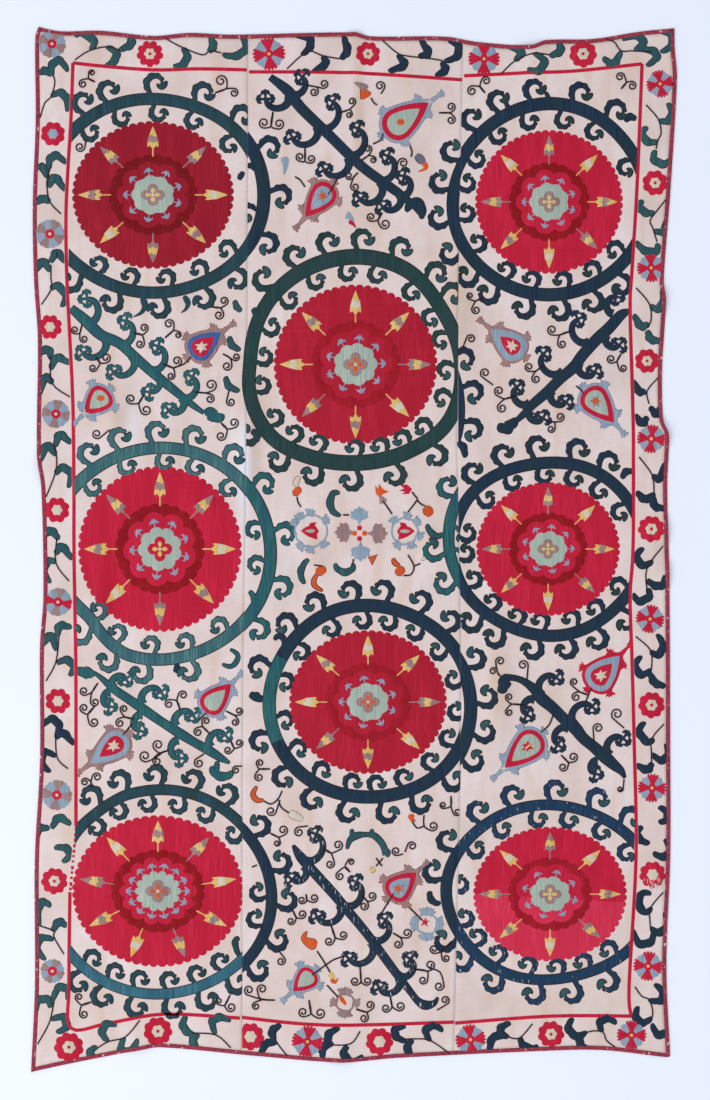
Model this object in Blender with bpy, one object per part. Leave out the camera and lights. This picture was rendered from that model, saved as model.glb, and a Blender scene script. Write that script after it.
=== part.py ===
# Suzani embroidered textile: three lengths of hand-woven cotton sewn edge to edge, with a narrow
# red braid round the four edges, lying face up on a flat surface in soft folds.
#
# Metres, +Z up. X runs across the cloth and Y along it, towards its top edge. The origin is on
# the surface that the cloth lies on, under the middle of the cloth's outline.

import math
from bisect import bisect_right
from collections import namedtuple

import bmesh
import bpy

# Driving sizes
COTTON_THICKNESS = 0.0020
BRAID_WIDTH = 0.0095
BRAID_THICKNESS = 0.0026
BRAID_CROWN = 0.0006
SEAM_GAP = 0.0003

# How finely each piece is divided
PANEL_COLUMNS = 26
PANEL_ROWS = 60
BRAID_COLUMNS = 2

# Share of a fold's length over which each of its ends dies away
FOLD_END_SHARE = 0.35

# A point on one of the cloth's lengthwise lines: how far along the cloth it is, and how far across
Lengthwise = namedtuple("Lengthwise", "along across")

# A point on the top or bottom edge: how far across the cloth it is, and how far along
Crosswise = namedtuple("Crosswise", "across along")

LEFT_EDGE = (
    Lengthwise(along=-1.228, across=-0.759),
    Lengthwise(along=-1.024, across=-0.750),
    Lengthwise(along=-0.728, across=-0.750),
    Lengthwise(along=-0.495, across=-0.738),
    Lengthwise(along=-0.227, across=-0.738),
    Lengthwise(along=-0.109, across=-0.730),
    Lengthwise(along=0.147, across=-0.735),
    Lengthwise(along=0.227, across=-0.745),
    Lengthwise(along=0.493, across=-0.743),
    Lengthwise(along=0.634, across=-0.752),
    Lengthwise(along=0.808, across=-0.755),
    Lengthwise(along=1.010, across=-0.748),
    Lengthwise(along=1.203, across=-0.749),
    Lengthwise(along=1.228, across=-0.742),
)

RIGHT_EDGE = (
    Lengthwise(along=-1.191, across=0.743),
    Lengthwise(along=-0.979, across=0.734),
    Lengthwise(along=-0.721, across=0.743),
    Lengthwise(along=-0.448, across=0.743),
    Lengthwise(along=-0.069, across=0.741),
    Lengthwise(along=0.149, across=0.736),
    Lengthwise(along=0.243, across=0.740),
    Lengthwise(along=0.272, across=0.739),
    Lengthwise(along=0.304, across=0.727),
    Lengthwise(along=0.422, across=0.724),
    Lengthwise(along=0.540, across=0.731),
    Lengthwise(along=0.587, across=0.733),
    Lengthwise(along=0.634, across=0.728),
    Lengthwise(along=0.836, across=0.743),
    Lengthwise(along=1.111, across=0.759),
    Lengthwise(along=1.174, across=0.754),
    Lengthwise(along=1.225, across=0.753),
)

LEFT_SEAM = (
    Lengthwise(along=-1.191, across=-0.263),
    Lengthwise(along=-0.354, across=-0.261),
    Lengthwise(along=0.351, across=-0.252),
    Lengthwise(along=1.210, across=-0.249),
)

RIGHT_SEAM = (
    Lengthwise(along=-1.191, across=0.235),
    Lengthwise(along=-0.354, across=0.252),
    Lengthwise(along=0.351, across=0.242),
    Lengthwise(along=1.198, across=0.256),
)

TOP_EDGE = (
    Crosswise(across=-0.742, along=1.228),
    Crosswise(across=-0.691, along=1.218),
    Crosswise(across=-0.595, along=1.219),
    Crosswise(across=-0.473, along=1.207),
    Crosswise(across=-0.388, along=1.214),
    Crosswise(across=-0.292, along=1.210),
    Crosswise(across=-0.002, along=1.215),
    Crosswise(across=0.040, along=1.206),
    Crosswise(across=0.216, along=1.205),
    Crosswise(across=0.289, along=1.193),
    Crosswise(across=0.416, along=1.185),
    Crosswise(across=0.451, along=1.197),
    Crosswise(across=0.562, along=1.200),
    Crosswise(across=0.672, along=1.217),
    Crosswise(across=0.753, along=1.225),
)

BOTTOM_EDGE = (
    Crosswise(across=-0.759, along=-1.228),
    Crosswise(across=-0.677, along=-1.210),
    Crosswise(across=-0.508, along=-1.177),
    Crosswise(across=-0.454, along=-1.170),
    Crosswise(across=-0.221, along=-1.191),
    Crosswise(across=-0.031, along=-1.205),
    Crosswise(across=0.099, along=-1.195),
    Crosswise(across=0.480, along=-1.177),
    Crosswise(across=0.592, along=-1.177),
    Crosswise(across=0.734, along=-1.193),
    Crosswise(across=0.743, along=-1.191),
)

# A soft fold: the ends of its crest, its height and how far each flank reaches from the crest.
# Folds that run off the cloth have an end outside its outline.
Fold = namedtuple("Fold", "x_start y_start x_end y_end height reach")

FOLDS = (
    Fold(x_start=-0.253, y_start=0.400, x_end=-0.260, y_end=0.070, height=0.014, reach=0.045),
    Fold(x_start=0.002, y_start=1.500, x_end=0.005, y_end=0.770, height=0.006, reach=0.030),
    Fold(x_start=-0.535, y_start=0.430, x_end=-0.592, y_end=0.220, height=0.010, reach=0.045),
    Fold(x_start=-0.594, y_start=0.010, x_end=-0.601, y_end=-0.250, height=0.009, reach=0.045),
    Fold(x_start=0.357, y_start=-0.180, x_end=0.318, y_end=-0.540, height=0.011, reach=0.055),
    Fold(x_start=0.250, y_start=0.790, x_end=0.236, y_end=0.430, height=0.009, reach=0.045),
    Fold(x_start=-0.180, y_start=0.125, x_end=-0.042, y_end=-0.105, height=0.009, reach=0.045),
    Fold(x_start=0.128, y_start=0.120, x_end=0.204, y_end=-0.015, height=0.006, reach=0.035),
    Fold(x_start=0.230, y_start=-1.030, x_end=0.325, y_end=-1.083, height=0.006, reach=0.035),
    Fold(x_start=0.600, y_start=0.272, x_end=0.900, y_end=0.283, height=0.008, reach=0.050),
    Fold(x_start=0.640, y_start=0.045, x_end=0.880, y_end=0.049, height=0.006, reach=0.050),
    Fold(x_start=0.640, y_start=-0.058, x_end=0.880, y_end=-0.050, height=0.006, reach=0.050),
    Fold(x_start=0.640, y_start=0.582, x_end=0.880, y_end=0.608, height=0.006, reach=0.050),
    Fold(x_start=-0.900, y_start=0.215, x_end=-0.650, y_end=0.180, height=0.007, reach=0.055),
    Fold(x_start=-0.510, y_start=-1.080, x_end=-0.500, y_end=-1.350, height=0.006, reach=0.050),
    Fold(x_start=-0.031, y_start=-1.100, x_end=-0.027, y_end=-1.350, height=0.006, reach=0.050),
    Fold(x_start=0.417, y_start=1.350, x_end=0.414, y_end=1.080, height=0.007, reach=0.050),
)

# Colours as linear values, with roughness
COTTON_COLOUR = (0.76, 0.66, 0.61, 1.0)
COTTON_ROUGHNESS = 0.9
BRAID_COLOUR = (0.40, 0.02, 0.05, 1.0)
BRAID_ROUGHNESS = 0.75

# A line of grid points that runs along the cloth. It lies a share of the way from one lengthwise
# line of the cloth to another, plus a sideways shift.
Column = namedtuple("Column", "low_line high_line share shift")

# A line of grid points that runs across the cloth, placed the same way between the braid's inner
# sides at the bottom and the top.
Row = namedtuple("Row", "share shift")


def smooth_value(table, at):
    # Reads a two-column table as a smooth curve through its points, level beyond its ends
    keys = [point[0] for point in table]
    values = [point[1] for point in table]
    if at <= keys[0]:
        return values[0]
    if at >= keys[-1]:
        return values[-1]
    low = bisect_right(keys, at) - 1
    high = low + 1
    before = max(low - 1, 0)
    after = min(high + 1, len(keys) - 1)
    span = keys[high] - keys[low]
    slope_low = (values[high] - values[before]) / (keys[high] - keys[before])
    slope_high = (values[after] - values[low]) / (keys[after] - keys[low])
    t = (at - keys[low]) / span
    rise = (2 * t**3 - 3 * t**2 + 1) * values[low] + (3 * t**2 - 2 * t**3) * values[high]
    bend = (t**3 - 2 * t**2 + t) * slope_low + (t**3 - t**2) * slope_high
    return rise + span * bend


def blend(low, high, share):
    return low + (high - low) * share


def left_line(along):
    return smooth_value(LEFT_EDGE, along) + BRAID_WIDTH


def left_seam_line(along):
    return smooth_value(LEFT_SEAM, along)


def right_seam_line(along):
    return smooth_value(RIGHT_SEAM, along)


def right_line(along):
    return smooth_value(RIGHT_EDGE, along) - BRAID_WIDTH


def grid_point(column, row):
    # The edges wave, so the place is found in a few steps, each from the one before
    along = 0.0
    for _ in range(4):
        across = blend(column.low_line(along), column.high_line(along), column.share) + column.shift
        low = smooth_value(BOTTOM_EDGE, across) + BRAID_WIDTH
        high = smooth_value(TOP_EDGE, across) - BRAID_WIDTH
        along = blend(low, high, row.share) + row.shift
    return across, along


def fold_lift(fold, across, along):
    # A rounded ridge over the crest line, which dies away at its flanks and its two ends
    run_x = fold.x_end - fold.x_start
    run_y = fold.y_end - fold.y_start
    length = math.hypot(run_x, run_y)
    from_x = across - fold.x_start
    from_y = along - fold.y_start
    share = (from_x * run_x + from_y * run_y) / length**2
    aside = abs(from_x * run_y - from_y * run_x) / length
    if aside >= fold.reach or share <= 0.0 or share >= 1.0:
        return 0.0
    end = min(min(share, 1.0 - share) / FOLD_END_SHARE, 1.0)
    fade = end * end * (3.0 - 2.0 * end)
    return fold.height * fade * math.cos(0.5 * math.pi * aside / fold.reach) ** 2


def lift(across, along):
    return max(fold_lift(fold, across, along) for fold in FOLDS)


def make_material(name, colour, roughness):
    material = bpy.data.materials.new(name)
    material.use_nodes = True
    shader = material.node_tree.nodes["Principled BSDF"]
    shader.inputs["Base Color"].default_value = colour
    shader.inputs["Roughness"].default_value = roughness
    shader.inputs["Metallic"].default_value = 0.0
    return material


def make_cloth(name, columns, rows, thickness_at, material, collection):
    # A flat grid is laid along the columns and rows, then thickened straight up
    bm = bmesh.new()
    column_steps = len(columns) - 1
    row_steps = len(rows) - 1
    bmesh.ops.create_grid(bm, x_segments=column_steps, y_segments=row_steps, size=1.0)
    thickness = {}
    for vert in bm.verts:
        column_index = round((vert.co.x + 1.0) / 2.0 * column_steps)
        row_index = round((vert.co.y + 1.0) / 2.0 * row_steps)
        across, along = grid_point(columns[column_index], rows[row_index])
        vert.co = (across, along, lift(across, along))
        thickness[vert.co.to_tuple(6)] = thickness_at(column_index, row_index)
    upper = bmesh.ops.extrude_face_region(bm, geom=bm.faces[:])
    for vert in upper["geom"]:
        if isinstance(vert, bmesh.types.BMVert):
            vert.co.z += thickness[vert.co.to_tuple(6)]
    bmesh.ops.recalc_face_normals(bm, faces=bm.faces[:])
    mesh = bpy.data.meshes.new(name)
    bm.to_mesh(mesh)
    bm.free()
    mesh.materials.append(material)
    cloth = bpy.data.objects.new(name, mesh)
    collection.objects.link(cloth)
    return cloth


def panel_columns(low_line, high_line, low_shift, high_shift):
    steps = range(PANEL_COLUMNS + 1)
    shares = [step / PANEL_COLUMNS for step in steps]
    return [Column(low_line, high_line, share, blend(low_shift, high_shift, share)) for share in shares]


def panel_rows():
    return [Row(step / PANEL_ROWS, 0.0) for step in range(PANEL_ROWS + 1)]


def braid_shifts():
    # Across the braid, from the side that meets the cotton to the outer side
    steps = range(BRAID_COLUMNS + 1)
    return [blend(SEAM_GAP, BRAID_WIDTH, step / BRAID_COLUMNS) for step in steps]


def braid_thickness(step):
    middle = BRAID_COLUMNS / 2
    return BRAID_THICKNESS + BRAID_CROWN * (1.0 - abs(step - middle) / middle)


def make_panels(material, collection):
    half_gap = SEAM_GAP / 2
    layout = {
        "panel_left": (left_line, left_seam_line, 0.0, -half_gap),
        "panel_centre": (left_seam_line, right_seam_line, half_gap, -half_gap),
        "panel_right": (right_seam_line, right_line, half_gap, 0.0),
    }
    for name, sides in layout.items():
        make_cloth(
            name,
            panel_columns(*sides),
            panel_rows(),
            lambda column, row: COTTON_THICKNESS,
            material,
            collection,
        )


def make_long_braids(material, collection):
    # The two lengthwise runs also cover the corners
    rows = [Row(0.0, -BRAID_WIDTH)] + panel_rows() + [Row(1.0, BRAID_WIDTH)]
    for name, line, side in (("braid_left", left_line, -1), ("braid_right", right_line, 1)):
        columns = [Column(line, line, 0.0, side * shift) for shift in braid_shifts()]
        make_cloth(name, columns, rows, lambda column, row: braid_thickness(column), material, collection)


def make_short_braids(material, collection):
    # The two crosswise runs fit between the lengthwise ones
    columns = panel_columns(left_line, left_seam_line, 0.0, 0.0)
    columns += panel_columns(left_seam_line, right_seam_line, 0.0, 0.0)[1:]
    columns += panel_columns(right_seam_line, right_line, 0.0, 0.0)[1:]
    for name, share, side in (("braid_bottom", 0.0, -1), ("braid_top", 1.0, 1)):
        rows = [Row(share, side * shift) for shift in braid_shifts()]
        make_cloth(name, columns, rows, lambda column, row: braid_thickness(row), material, collection)


def clear_scene():
    for thing in list(bpy.data.objects):
        bpy.data.objects.remove(thing, do_unlink=True)


def main():
    clear_scene()
    collection = bpy.data.collections.new("suzani")
    bpy.context.scene.collection.children.link(collection)
    cotton = make_material("cotton", COTTON_COLOUR, COTTON_ROUGHNESS)
    braid = make_material("braid", BRAID_COLOUR, BRAID_ROUGHNESS)
    make_panels(cotton, collection)
    make_long_braids(braid, collection)
    make_short_braids(braid, collection)


main()
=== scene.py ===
import math
import random
from bisect import bisect_right

import bmesh
import bpy
import numpy as np
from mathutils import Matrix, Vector


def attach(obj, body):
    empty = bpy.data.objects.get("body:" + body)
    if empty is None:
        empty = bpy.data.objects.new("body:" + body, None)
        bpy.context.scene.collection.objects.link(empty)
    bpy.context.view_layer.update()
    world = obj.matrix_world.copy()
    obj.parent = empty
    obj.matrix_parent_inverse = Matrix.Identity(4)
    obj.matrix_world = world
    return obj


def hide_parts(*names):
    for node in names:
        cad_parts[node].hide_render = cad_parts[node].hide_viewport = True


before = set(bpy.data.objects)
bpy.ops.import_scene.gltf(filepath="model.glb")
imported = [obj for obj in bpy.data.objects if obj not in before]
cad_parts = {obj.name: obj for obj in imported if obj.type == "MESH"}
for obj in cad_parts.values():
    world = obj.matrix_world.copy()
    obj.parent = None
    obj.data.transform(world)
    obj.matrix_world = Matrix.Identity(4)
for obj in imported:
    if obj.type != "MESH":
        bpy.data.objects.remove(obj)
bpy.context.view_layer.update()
print("frame loaded")

# The cloth lies face up. A place on it is given as a pixel of the photograph, x to the right and
# y down, in its 710 by 1100 frame, and onCloth turns it into metres.
cloth = {
    "pixel": 0.002351,  # metres on the cloth for one pixel
    "middleX": 354.0,
    "middleY": 549.5,
    "thickness": 0.0016,  # of the cotton
    "columns": 64,  # mesh cells across a panel
    "rows": 300,  # mesh cells along a panel
    "braidWidth": 0.0095,
    "seamGap": 0.0003,
    "flatLength": 2.40,  # of each panel
    "flatWidths": {"left": 0.492, "centre": 0.502, "right": 0.492},
}


def onCloth(x, y):
    return (x - cloth["middleX"]) * cloth["pixel"], (cloth["middleY"] - y) * cloth["pixel"]


# Lines along the cloth, in metres: how far along, how far across
leftEdge = (
    (-1.228, -0.759), (-1.024, -0.750), (-0.728, -0.750), (-0.495, -0.738), (-0.227, -0.738),
    (-0.109, -0.730), (0.147, -0.735), (0.227, -0.745), (0.493, -0.743), (0.634, -0.752),
    (0.808, -0.755), (1.010, -0.748), (1.203, -0.749), (1.228, -0.742),
)
rightEdge = (
    (-1.191, 0.743), (-0.979, 0.734), (-0.721, 0.743), (-0.448, 0.743), (-0.069, 0.741),
    (0.149, 0.736), (0.243, 0.740), (0.272, 0.739), (0.304, 0.727), (0.422, 0.724), (0.540, 0.731),
    (0.587, 0.733), (0.634, 0.728), (0.836, 0.743), (1.111, 0.759), (1.174, 0.754), (1.225, 0.753),
)
leftSeam = ((-1.191, -0.263), (-0.354, -0.261), (0.351, -0.252), (1.210, -0.249))
rightSeam = ((-1.191, 0.235), (-0.354, 0.252), (0.351, 0.242), (1.198, 0.256))

# Lines across the cloth, in metres: how far across, how far along
topEdge = (
    (-0.742, 1.228), (-0.691, 1.218), (-0.595, 1.219), (-0.473, 1.207), (-0.388, 1.214),
    (-0.292, 1.210), (-0.002, 1.215), (0.040, 1.206), (0.216, 1.205), (0.289, 1.193),
    (0.416, 1.185), (0.451, 1.197), (0.562, 1.200), (0.672, 1.217), (0.753, 1.225),
)
bottomEdge = (
    (-0.759, -1.228), (-0.677, -1.210), (-0.508, -1.177), (-0.454, -1.170), (-0.221, -1.191),
    (-0.031, -1.205), (0.099, -1.195), (0.480, -1.177), (0.592, -1.177), (0.734, -1.193),
    (0.743, -1.191),
)

# Soft folds, in metres: both ends of the crest, its height, and the reach of each flank
folds = (
    ((-0.253, 0.400), (-0.260, 0.070), 0.014, 0.045),
    ((0.002, 1.500), (0.005, 0.770), 0.006, 0.030),
    ((-0.535, 0.430), (-0.592, 0.220), 0.010, 0.045),
    ((-0.594, 0.010), (-0.601, -0.250), 0.009, 0.045),
    ((0.357, -0.180), (0.318, -0.540), 0.011, 0.055),
    ((0.250, 0.790), (0.236, 0.430), 0.009, 0.045),
    ((-0.180, 0.125), (-0.042, -0.105), 0.009, 0.045),
    ((0.128, 0.120), (0.204, -0.015), 0.006, 0.035),
    ((0.230, -1.030), (0.325, -1.083), 0.006, 0.035),
    ((0.600, 0.272), (0.900, 0.283), 0.008, 0.050),
    ((0.640, 0.045), (0.880, 0.049), 0.006, 0.050),
    ((0.640, -0.058), (0.880, -0.050), 0.006, 0.050),
    ((0.640, 0.582), (0.880, 0.608), 0.006, 0.050),
    ((-0.900, 0.215), (-0.650, 0.180), 0.007, 0.055),
    ((-0.510, -1.080), (-0.500, -1.350), 0.006, 0.050),
    ((-0.031, -1.100), (-0.027, -1.350), 0.006, 0.050),
    ((0.417, 1.350), (0.414, 1.080), 0.007, 0.050),
)
foldEndShare = 0.35


def smoothValue(table, at):
    # a two-column table read as a smooth curve through its points, level beyond its ends
    keys = [row[0] for row in table]
    values = [row[1] for row in table]
    if at <= keys[0]:
        return values[0]
    if at >= keys[-1]:
        return values[-1]
    low = bisect_right(keys, at) - 1
    high = low + 1
    before, after = max(low - 1, 0), min(high + 1, len(keys) - 1)
    span = keys[high] - keys[low]
    slopeLow = (values[high] - values[before]) / (keys[high] - keys[before])
    slopeHigh = (values[after] - values[low]) / (keys[after] - keys[low])
    t = (at - keys[low]) / span
    rise = (2 * t**3 - 3 * t**2 + 1) * values[low] + (3 * t**2 - 2 * t**3) * values[high]
    return rise + span * ((t**3 - 2 * t**2 + t) * slopeLow + (t**3 - t**2) * slopeHigh)


def liftAt(across, along):
    # how far the folds lift the cloth, for arrays of places in metres
    best = np.zeros(len(across))
    for start, end, height, reach in folds:
        runX, runY = end[0] - start[0], end[1] - start[1]
        length = math.hypot(runX, runY)
        share = ((across - start[0]) * runX + (along - start[1]) * runY) / length**2
        aside = np.abs((across - start[0]) * runY - (along - start[1]) * runX) / length
        fade = np.clip(np.minimum(share, 1 - share) / foldEndShare, 0, 1)
        fade = fade * fade * (3 - 2 * fade)
        ridge = np.where(aside < reach, np.cos(0.5 * math.pi * aside / reach) ** 2, 0)
        best = np.maximum(best, height * fade * ridge)
    return best


def nearFold(lowX, highX, lowY, highY):
    for start, end, height, reach in folds:
        apartX = max(min(start[0], end[0]) - reach - highX, lowX - max(start[0], end[0]) - reach)
        apartY = max(min(start[1], end[1]) - reach - highY, lowY - max(start[1], end[1]) - reach)
        if max(apartX, apartY) < 0:
            return True
    return False


def layOnFolds(mesh):
    # lifts every vertex of a flat mesh by the folds under it
    places = np.empty(len(mesh.vertices) * 3)
    mesh.vertices.foreach_get("co", places)
    places = places.reshape(-1, 3)
    places[:, 2] += liftAt(places[:, 0], places[:, 1])
    mesh.vertices.foreach_set("co", places.ravel())
    mesh.update()


def nodeMaterial(name):
    material = bpy.data.materials.new(name)
    material.use_nodes = True
    tree = material.node_tree
    shader = tree.nodes["Principled BSDF"]
    return material, tree, shader


def noiseNode(tree, scale, detail=2.0, roughness=0.5):
    # noise on object coordinates, with its own scale along each axis, in cells for each metre
    place = tree.nodes.new("ShaderNodeTexCoord")
    mapping = tree.nodes.new("ShaderNodeMapping")
    mapping.inputs["Scale"].default_value = scale
    noise = tree.nodes.new("ShaderNodeTexNoise")
    noise.inputs["Scale"].default_value = 1.0
    noise.inputs["Detail"].default_value = detail
    noise.inputs["Roughness"].default_value = roughness
    tree.links.new(place.outputs["Object"], mapping.inputs["Vector"])
    tree.links.new(mapping.outputs["Vector"], noise.inputs["Vector"])
    return noise.outputs["Fac"]


def rampNode(tree, value, stops):
    ramp = tree.nodes.new("ShaderNodeValToRGB")
    elements = ramp.color_ramp.elements
    while len(elements) < len(stops):
        elements.new(0.5)
    for element, (at, colour) in zip(elements, stops):
        element.position = at
        element.color = (*colour, 1.0)
    tree.links.new(value, ramp.inputs["Fac"])
    return ramp.outputs["Color"]


def mixNode(tree, share, first, second, blend="MIX"):
    mix = tree.nodes.new("ShaderNodeMix")
    mix.data_type = "RGBA"
    mix.blend_type = blend
    sockets = {"Factor": mix.inputs[0], "A": mix.inputs[6], "B": mix.inputs[7]}
    for key, value in (("Factor", share), ("A", first), ("B", second)):
        if isinstance(value, (int, float)):
            sockets[key].default_value = value
        elif isinstance(value, tuple):
            sockets[key].default_value = (*value, 1.0)
        else:
            tree.links.new(value, sockets[key])
    return mix.outputs[2]


def bumpNode(tree, shader, height, strength, distance, normal=None):
    bump = tree.nodes.new("ShaderNodeBump")
    bump.inputs["Strength"].default_value = strength
    bump.inputs["Distance"].default_value = distance
    tree.links.new(height, bump.inputs["Height"])
    if normal is not None:
        tree.links.new(normal, bump.inputs["Normal"])
    tree.links.new(bump.outputs["Normal"], shader.inputs["Normal"])
    return bump.outputs["Normal"]


def linear(red, green, blue):
    # a colour from 0 to 255 as the shader's linear value
    values = [value / 255.0 for value in (red, green, blue)]
    return tuple(v / 12.92 if v <= 0.04045 else ((v + 0.055) / 1.055) ** 2.4 for v in values)


# Silk threads: a name for the kind of thread, the dark, middle and light shades of one dye, a second dye lot,
# and how much cotton shows where stitches are worn away
threads = {
    "red": ("red_silk", (168, 18, 46), (194, 24, 56), (206, 38, 70), (182, 20, 50), 0.0),
    "wine": ("red_silk", (136, 12, 32), (154, 18, 40), (168, 30, 52), (144, 14, 36), 0.0),
    "crimson": ("red_silk", (156, 14, 38), (176, 22, 48), (188, 34, 60), (166, 18, 42), 0.0),
    "rose": ("red_silk", (186, 32, 62), (208, 44, 74), (220, 62, 92), (198, 38, 68), 0.0),
    "maroon": ("dark_red_silk", (100, 2, 12), (122, 6, 18), (138, 14, 28), (112, 4, 14), 0.0),
    "darkRed": ("dark_red_silk", (120, 2, 14), (146, 8, 22), (162, 18, 34), (134, 4, 18), 0.0),
    "garnet": ("dark_red_silk", (140, 8, 28), (160, 14, 34), (172, 24, 46), (148, 10, 30), 0.0),
    "green": ("green_silk", (24, 50, 58), (34, 66, 78), (46, 82, 94), (32, 58, 60), 0.0),
    "jade": ("green_silk", (38, 76, 84), (62, 106, 110), (92, 138, 134), (46, 88, 102), 0.0),
    "forest": ("green_silk", (20, 48, 48), (30, 60, 60), (44, 76, 76), (42, 62, 64), 0.0),
    "leaf": ("green_silk", (30, 64, 70), (42, 84, 88), (60, 104, 104), (38, 76, 86), 0.0),
    "teal": ("blue_silk", (38, 80, 96), (52, 102, 120), (74, 124, 140), (44, 88, 106), 0.0),
    "navy": ("navy_silk", (16, 32, 50), (24, 46, 68), (36, 60, 82), (28, 50, 60), 0.0),
    "midnight": ("navy_silk", (16, 40, 68), (24, 54, 86), (42, 74, 104), (26, 56, 76), 0.03),
    "paleBlue": ("blue_silk", (110, 132, 150), (136, 156, 174), (158, 178, 192), (144, 154, 174), 0.0),
    "emerald": ("green_silk", (24, 68, 74), (36, 92, 96), (58, 116, 112), (34, 82, 96), 0.0),
    "blue": ("blue_silk", (46, 76, 128), (60, 94, 150), (82, 118, 168), (54, 84, 138), 0.0),
    "sprig": ("blue_silk", (112, 122, 146), (138, 148, 170), (166, 176, 192), (132, 148, 170), 0.0),
    "mint": ("mint_silk", (138, 154, 144), (164, 178, 166), (184, 194, 182), (158, 170, 158), 0.0),
    "brown": ("brown_silk", (128, 100, 98), (152, 124, 120), (172, 146, 140), (142, 112, 114), 0.0),
    "yellow": ("yellow_silk", (196, 158, 90), (216, 182, 110), (228, 202, 144), (210, 170, 90), 0.0),
    "orange": ("orange_silk", (190, 70, 28), (212, 86, 36), (224, 110, 58), (200, 78, 36), 0.0),
    "pale": ("mint_silk", (192, 178, 158), (208, 196, 176), (220, 210, 194), (200, 188, 170), 0.0),
    "dark": ("dark_thread", (34, 20, 26), (48, 30, 34), (62, 42, 46), (40, 28, 36), 0.0),
    "slate": ("dark_thread", (84, 82, 96), (104, 104, 118), (126, 128, 140), (96, 100, 116), 0.0),
    "wornNavy": ("navy_silk", (16, 32, 50), (24, 46, 68), (36, 60, 82), (28, 50, 60), 0.07),
    "bare": ("cotton", (214, 196, 190), (226, 212, 206), (236, 226, 222), (220, 200, 196), 0.0),
}


def threadMaterial(name):
    slot, dark, middle, light, lot, worn = threads[name]
    material, tree, shader = nodeMaterial(name + "Thread")
    streaks = noiseNode(tree, (420.0, 14.0, 14.0), 2.0, 0.6)
    shades = rampNode(tree, streaks, (
        (0.30, linear(*dark)), (0.5, linear(*middle)), (0.72, linear(*light)),
    ))
    lots = noiseNode(tree, (30.0, 5.0, 5.0), 1.0)
    share = rampNode(tree, lots, ((0.45, (0.0,) * 3), (0.62, (0.75,) * 3)))
    colour = mixNode(tree, share, shades, linear(*lot))
    if worn > 0:
        gaps = noiseNode(tree, (330.0, 50.0, 50.0), 1.0)
        gone = rampNode(tree, gaps, ((0.74 - worn, (0.0,) * 3), (0.76 - worn, (0.8,) * 3)))
        colour = mixNode(tree, gone, colour, linear(206, 198, 192))
    tree.links.new(colour, shader.inputs["Base Color"])
    strands = noiseNode(tree, (900.0, 60.0, 60.0), 1.0)
    bumpNode(tree, shader, strands, 0.5, 0.0006)
    shader.inputs["Roughness"].default_value = 0.6
    shader.inputs["Sheen Weight"].default_value = 0.03
    shader.inputs["Sheen Roughness"].default_value = 0.4
    shader.inputs["Specular IOR Level"].default_value = 0.14
    return material


def cottonMaterial():
    material, tree, shader = nodeMaterial("cotton")
    broad = noiseNode(tree, (9.0, 7.0, 7.0), 3.0)
    base = rampNode(tree, broad, (
        (0.30, linear(214, 194, 186)), (0.5, linear(224, 206, 202)), (0.7, linear(230, 215, 214)),
    ))
    tint = noiseNode(tree, (60.0, 34.0, 34.0), 3.0)
    tinted = mixNode(tree, rampNode(tree, tint, ((0.42, (0.0,) * 3), (0.70, (0.5,) * 3))),
                     base, linear(224, 198, 192))
    warm = noiseNode(tree, (26.0, 4.0, 4.0), 3.0)
    warmed = mixNode(tree, rampNode(tree, warm, ((0.52, (0.0,) * 3), (0.74, (0.5,) * 3))),
                     tinted, linear(214, 182, 160))
    slubs = noiseNode(tree, (34.0, 420.0, 34.0), 2.0)
    threadTone = rampNode(tree, slubs, ((0.35, (0.96,) * 3), (0.62, (1.0,) * 3)))
    woven = mixNode(tree, 1.0, warmed, threadTone, "MULTIPLY")
    # real stains and painted shade: this attribute darkens the cotton towards brown, both for stains and for
    # painted shade on the shaded flanks of folds
    stainAndShade = tree.nodes.new("ShaderNodeAttribute")
    stainAndShade.attribute_name = "stainAndShade"
    stainedAndShaded = mixNode(tree, stainAndShade.outputs["Fac"], woven, linear(200, 168, 136))
    # painted highlight: the pale attribute lightens the cotton towards bluish white where the lit flanks of
    # folds catch the light
    pale = tree.nodes.new("ShaderNodeAttribute")
    pale.attribute_name = "pale"
    colour = mixNode(tree, pale.outputs["Fac"], stainedAndShaded, linear(226, 228, 240))
    tree.links.new(colour, shader.inputs["Base Color"])
    warp = noiseNode(tree, (900.0, 120.0, 120.0), 1.0)
    weft = noiseNode(tree, (120.0, 800.0, 120.0), 1.0)
    weave = mixNode(tree, 0.5, warp, weft)
    puckers = noiseNode(tree, (38.0, 22.0, 22.0), 2.0)
    first = bumpNode(tree, shader, puckers, 0.35, 0.004)
    bumpNode(tree, shader, weave, 0.4, 0.0005, first)
    shader.inputs["Roughness"].default_value = 0.92
    shader.inputs["Sheen Weight"].default_value = 0.1
    shader.inputs["Specular IOR Level"].default_value = 0.2
    return material


def braidMaterial():
    material, tree, shader = nodeMaterial("braidSilk")
    tone = noiseNode(tree, (220.0, 220.0, 220.0), 2.0)
    shades = rampNode(tree, tone, (
        (0.32, linear(104, 20, 42)), (0.5, linear(150, 30, 54)), (0.72, linear(176, 54, 76)),
    ))
    gaps = noiseNode(tree, (150.0, 90.0, 90.0), 1.0)
    gone = rampNode(tree, gaps, ((0.69, (0.0,) * 3), (0.73, (0.8,) * 3)))
    colour = mixNode(tree, gone, shades, linear(226, 190, 190))
    tree.links.new(colour, shader.inputs["Base Color"])
    bumpNode(tree, shader, tone, 0.4, 0.0006)
    shader.inputs["Roughness"].default_value = 0.7
    return material
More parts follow.
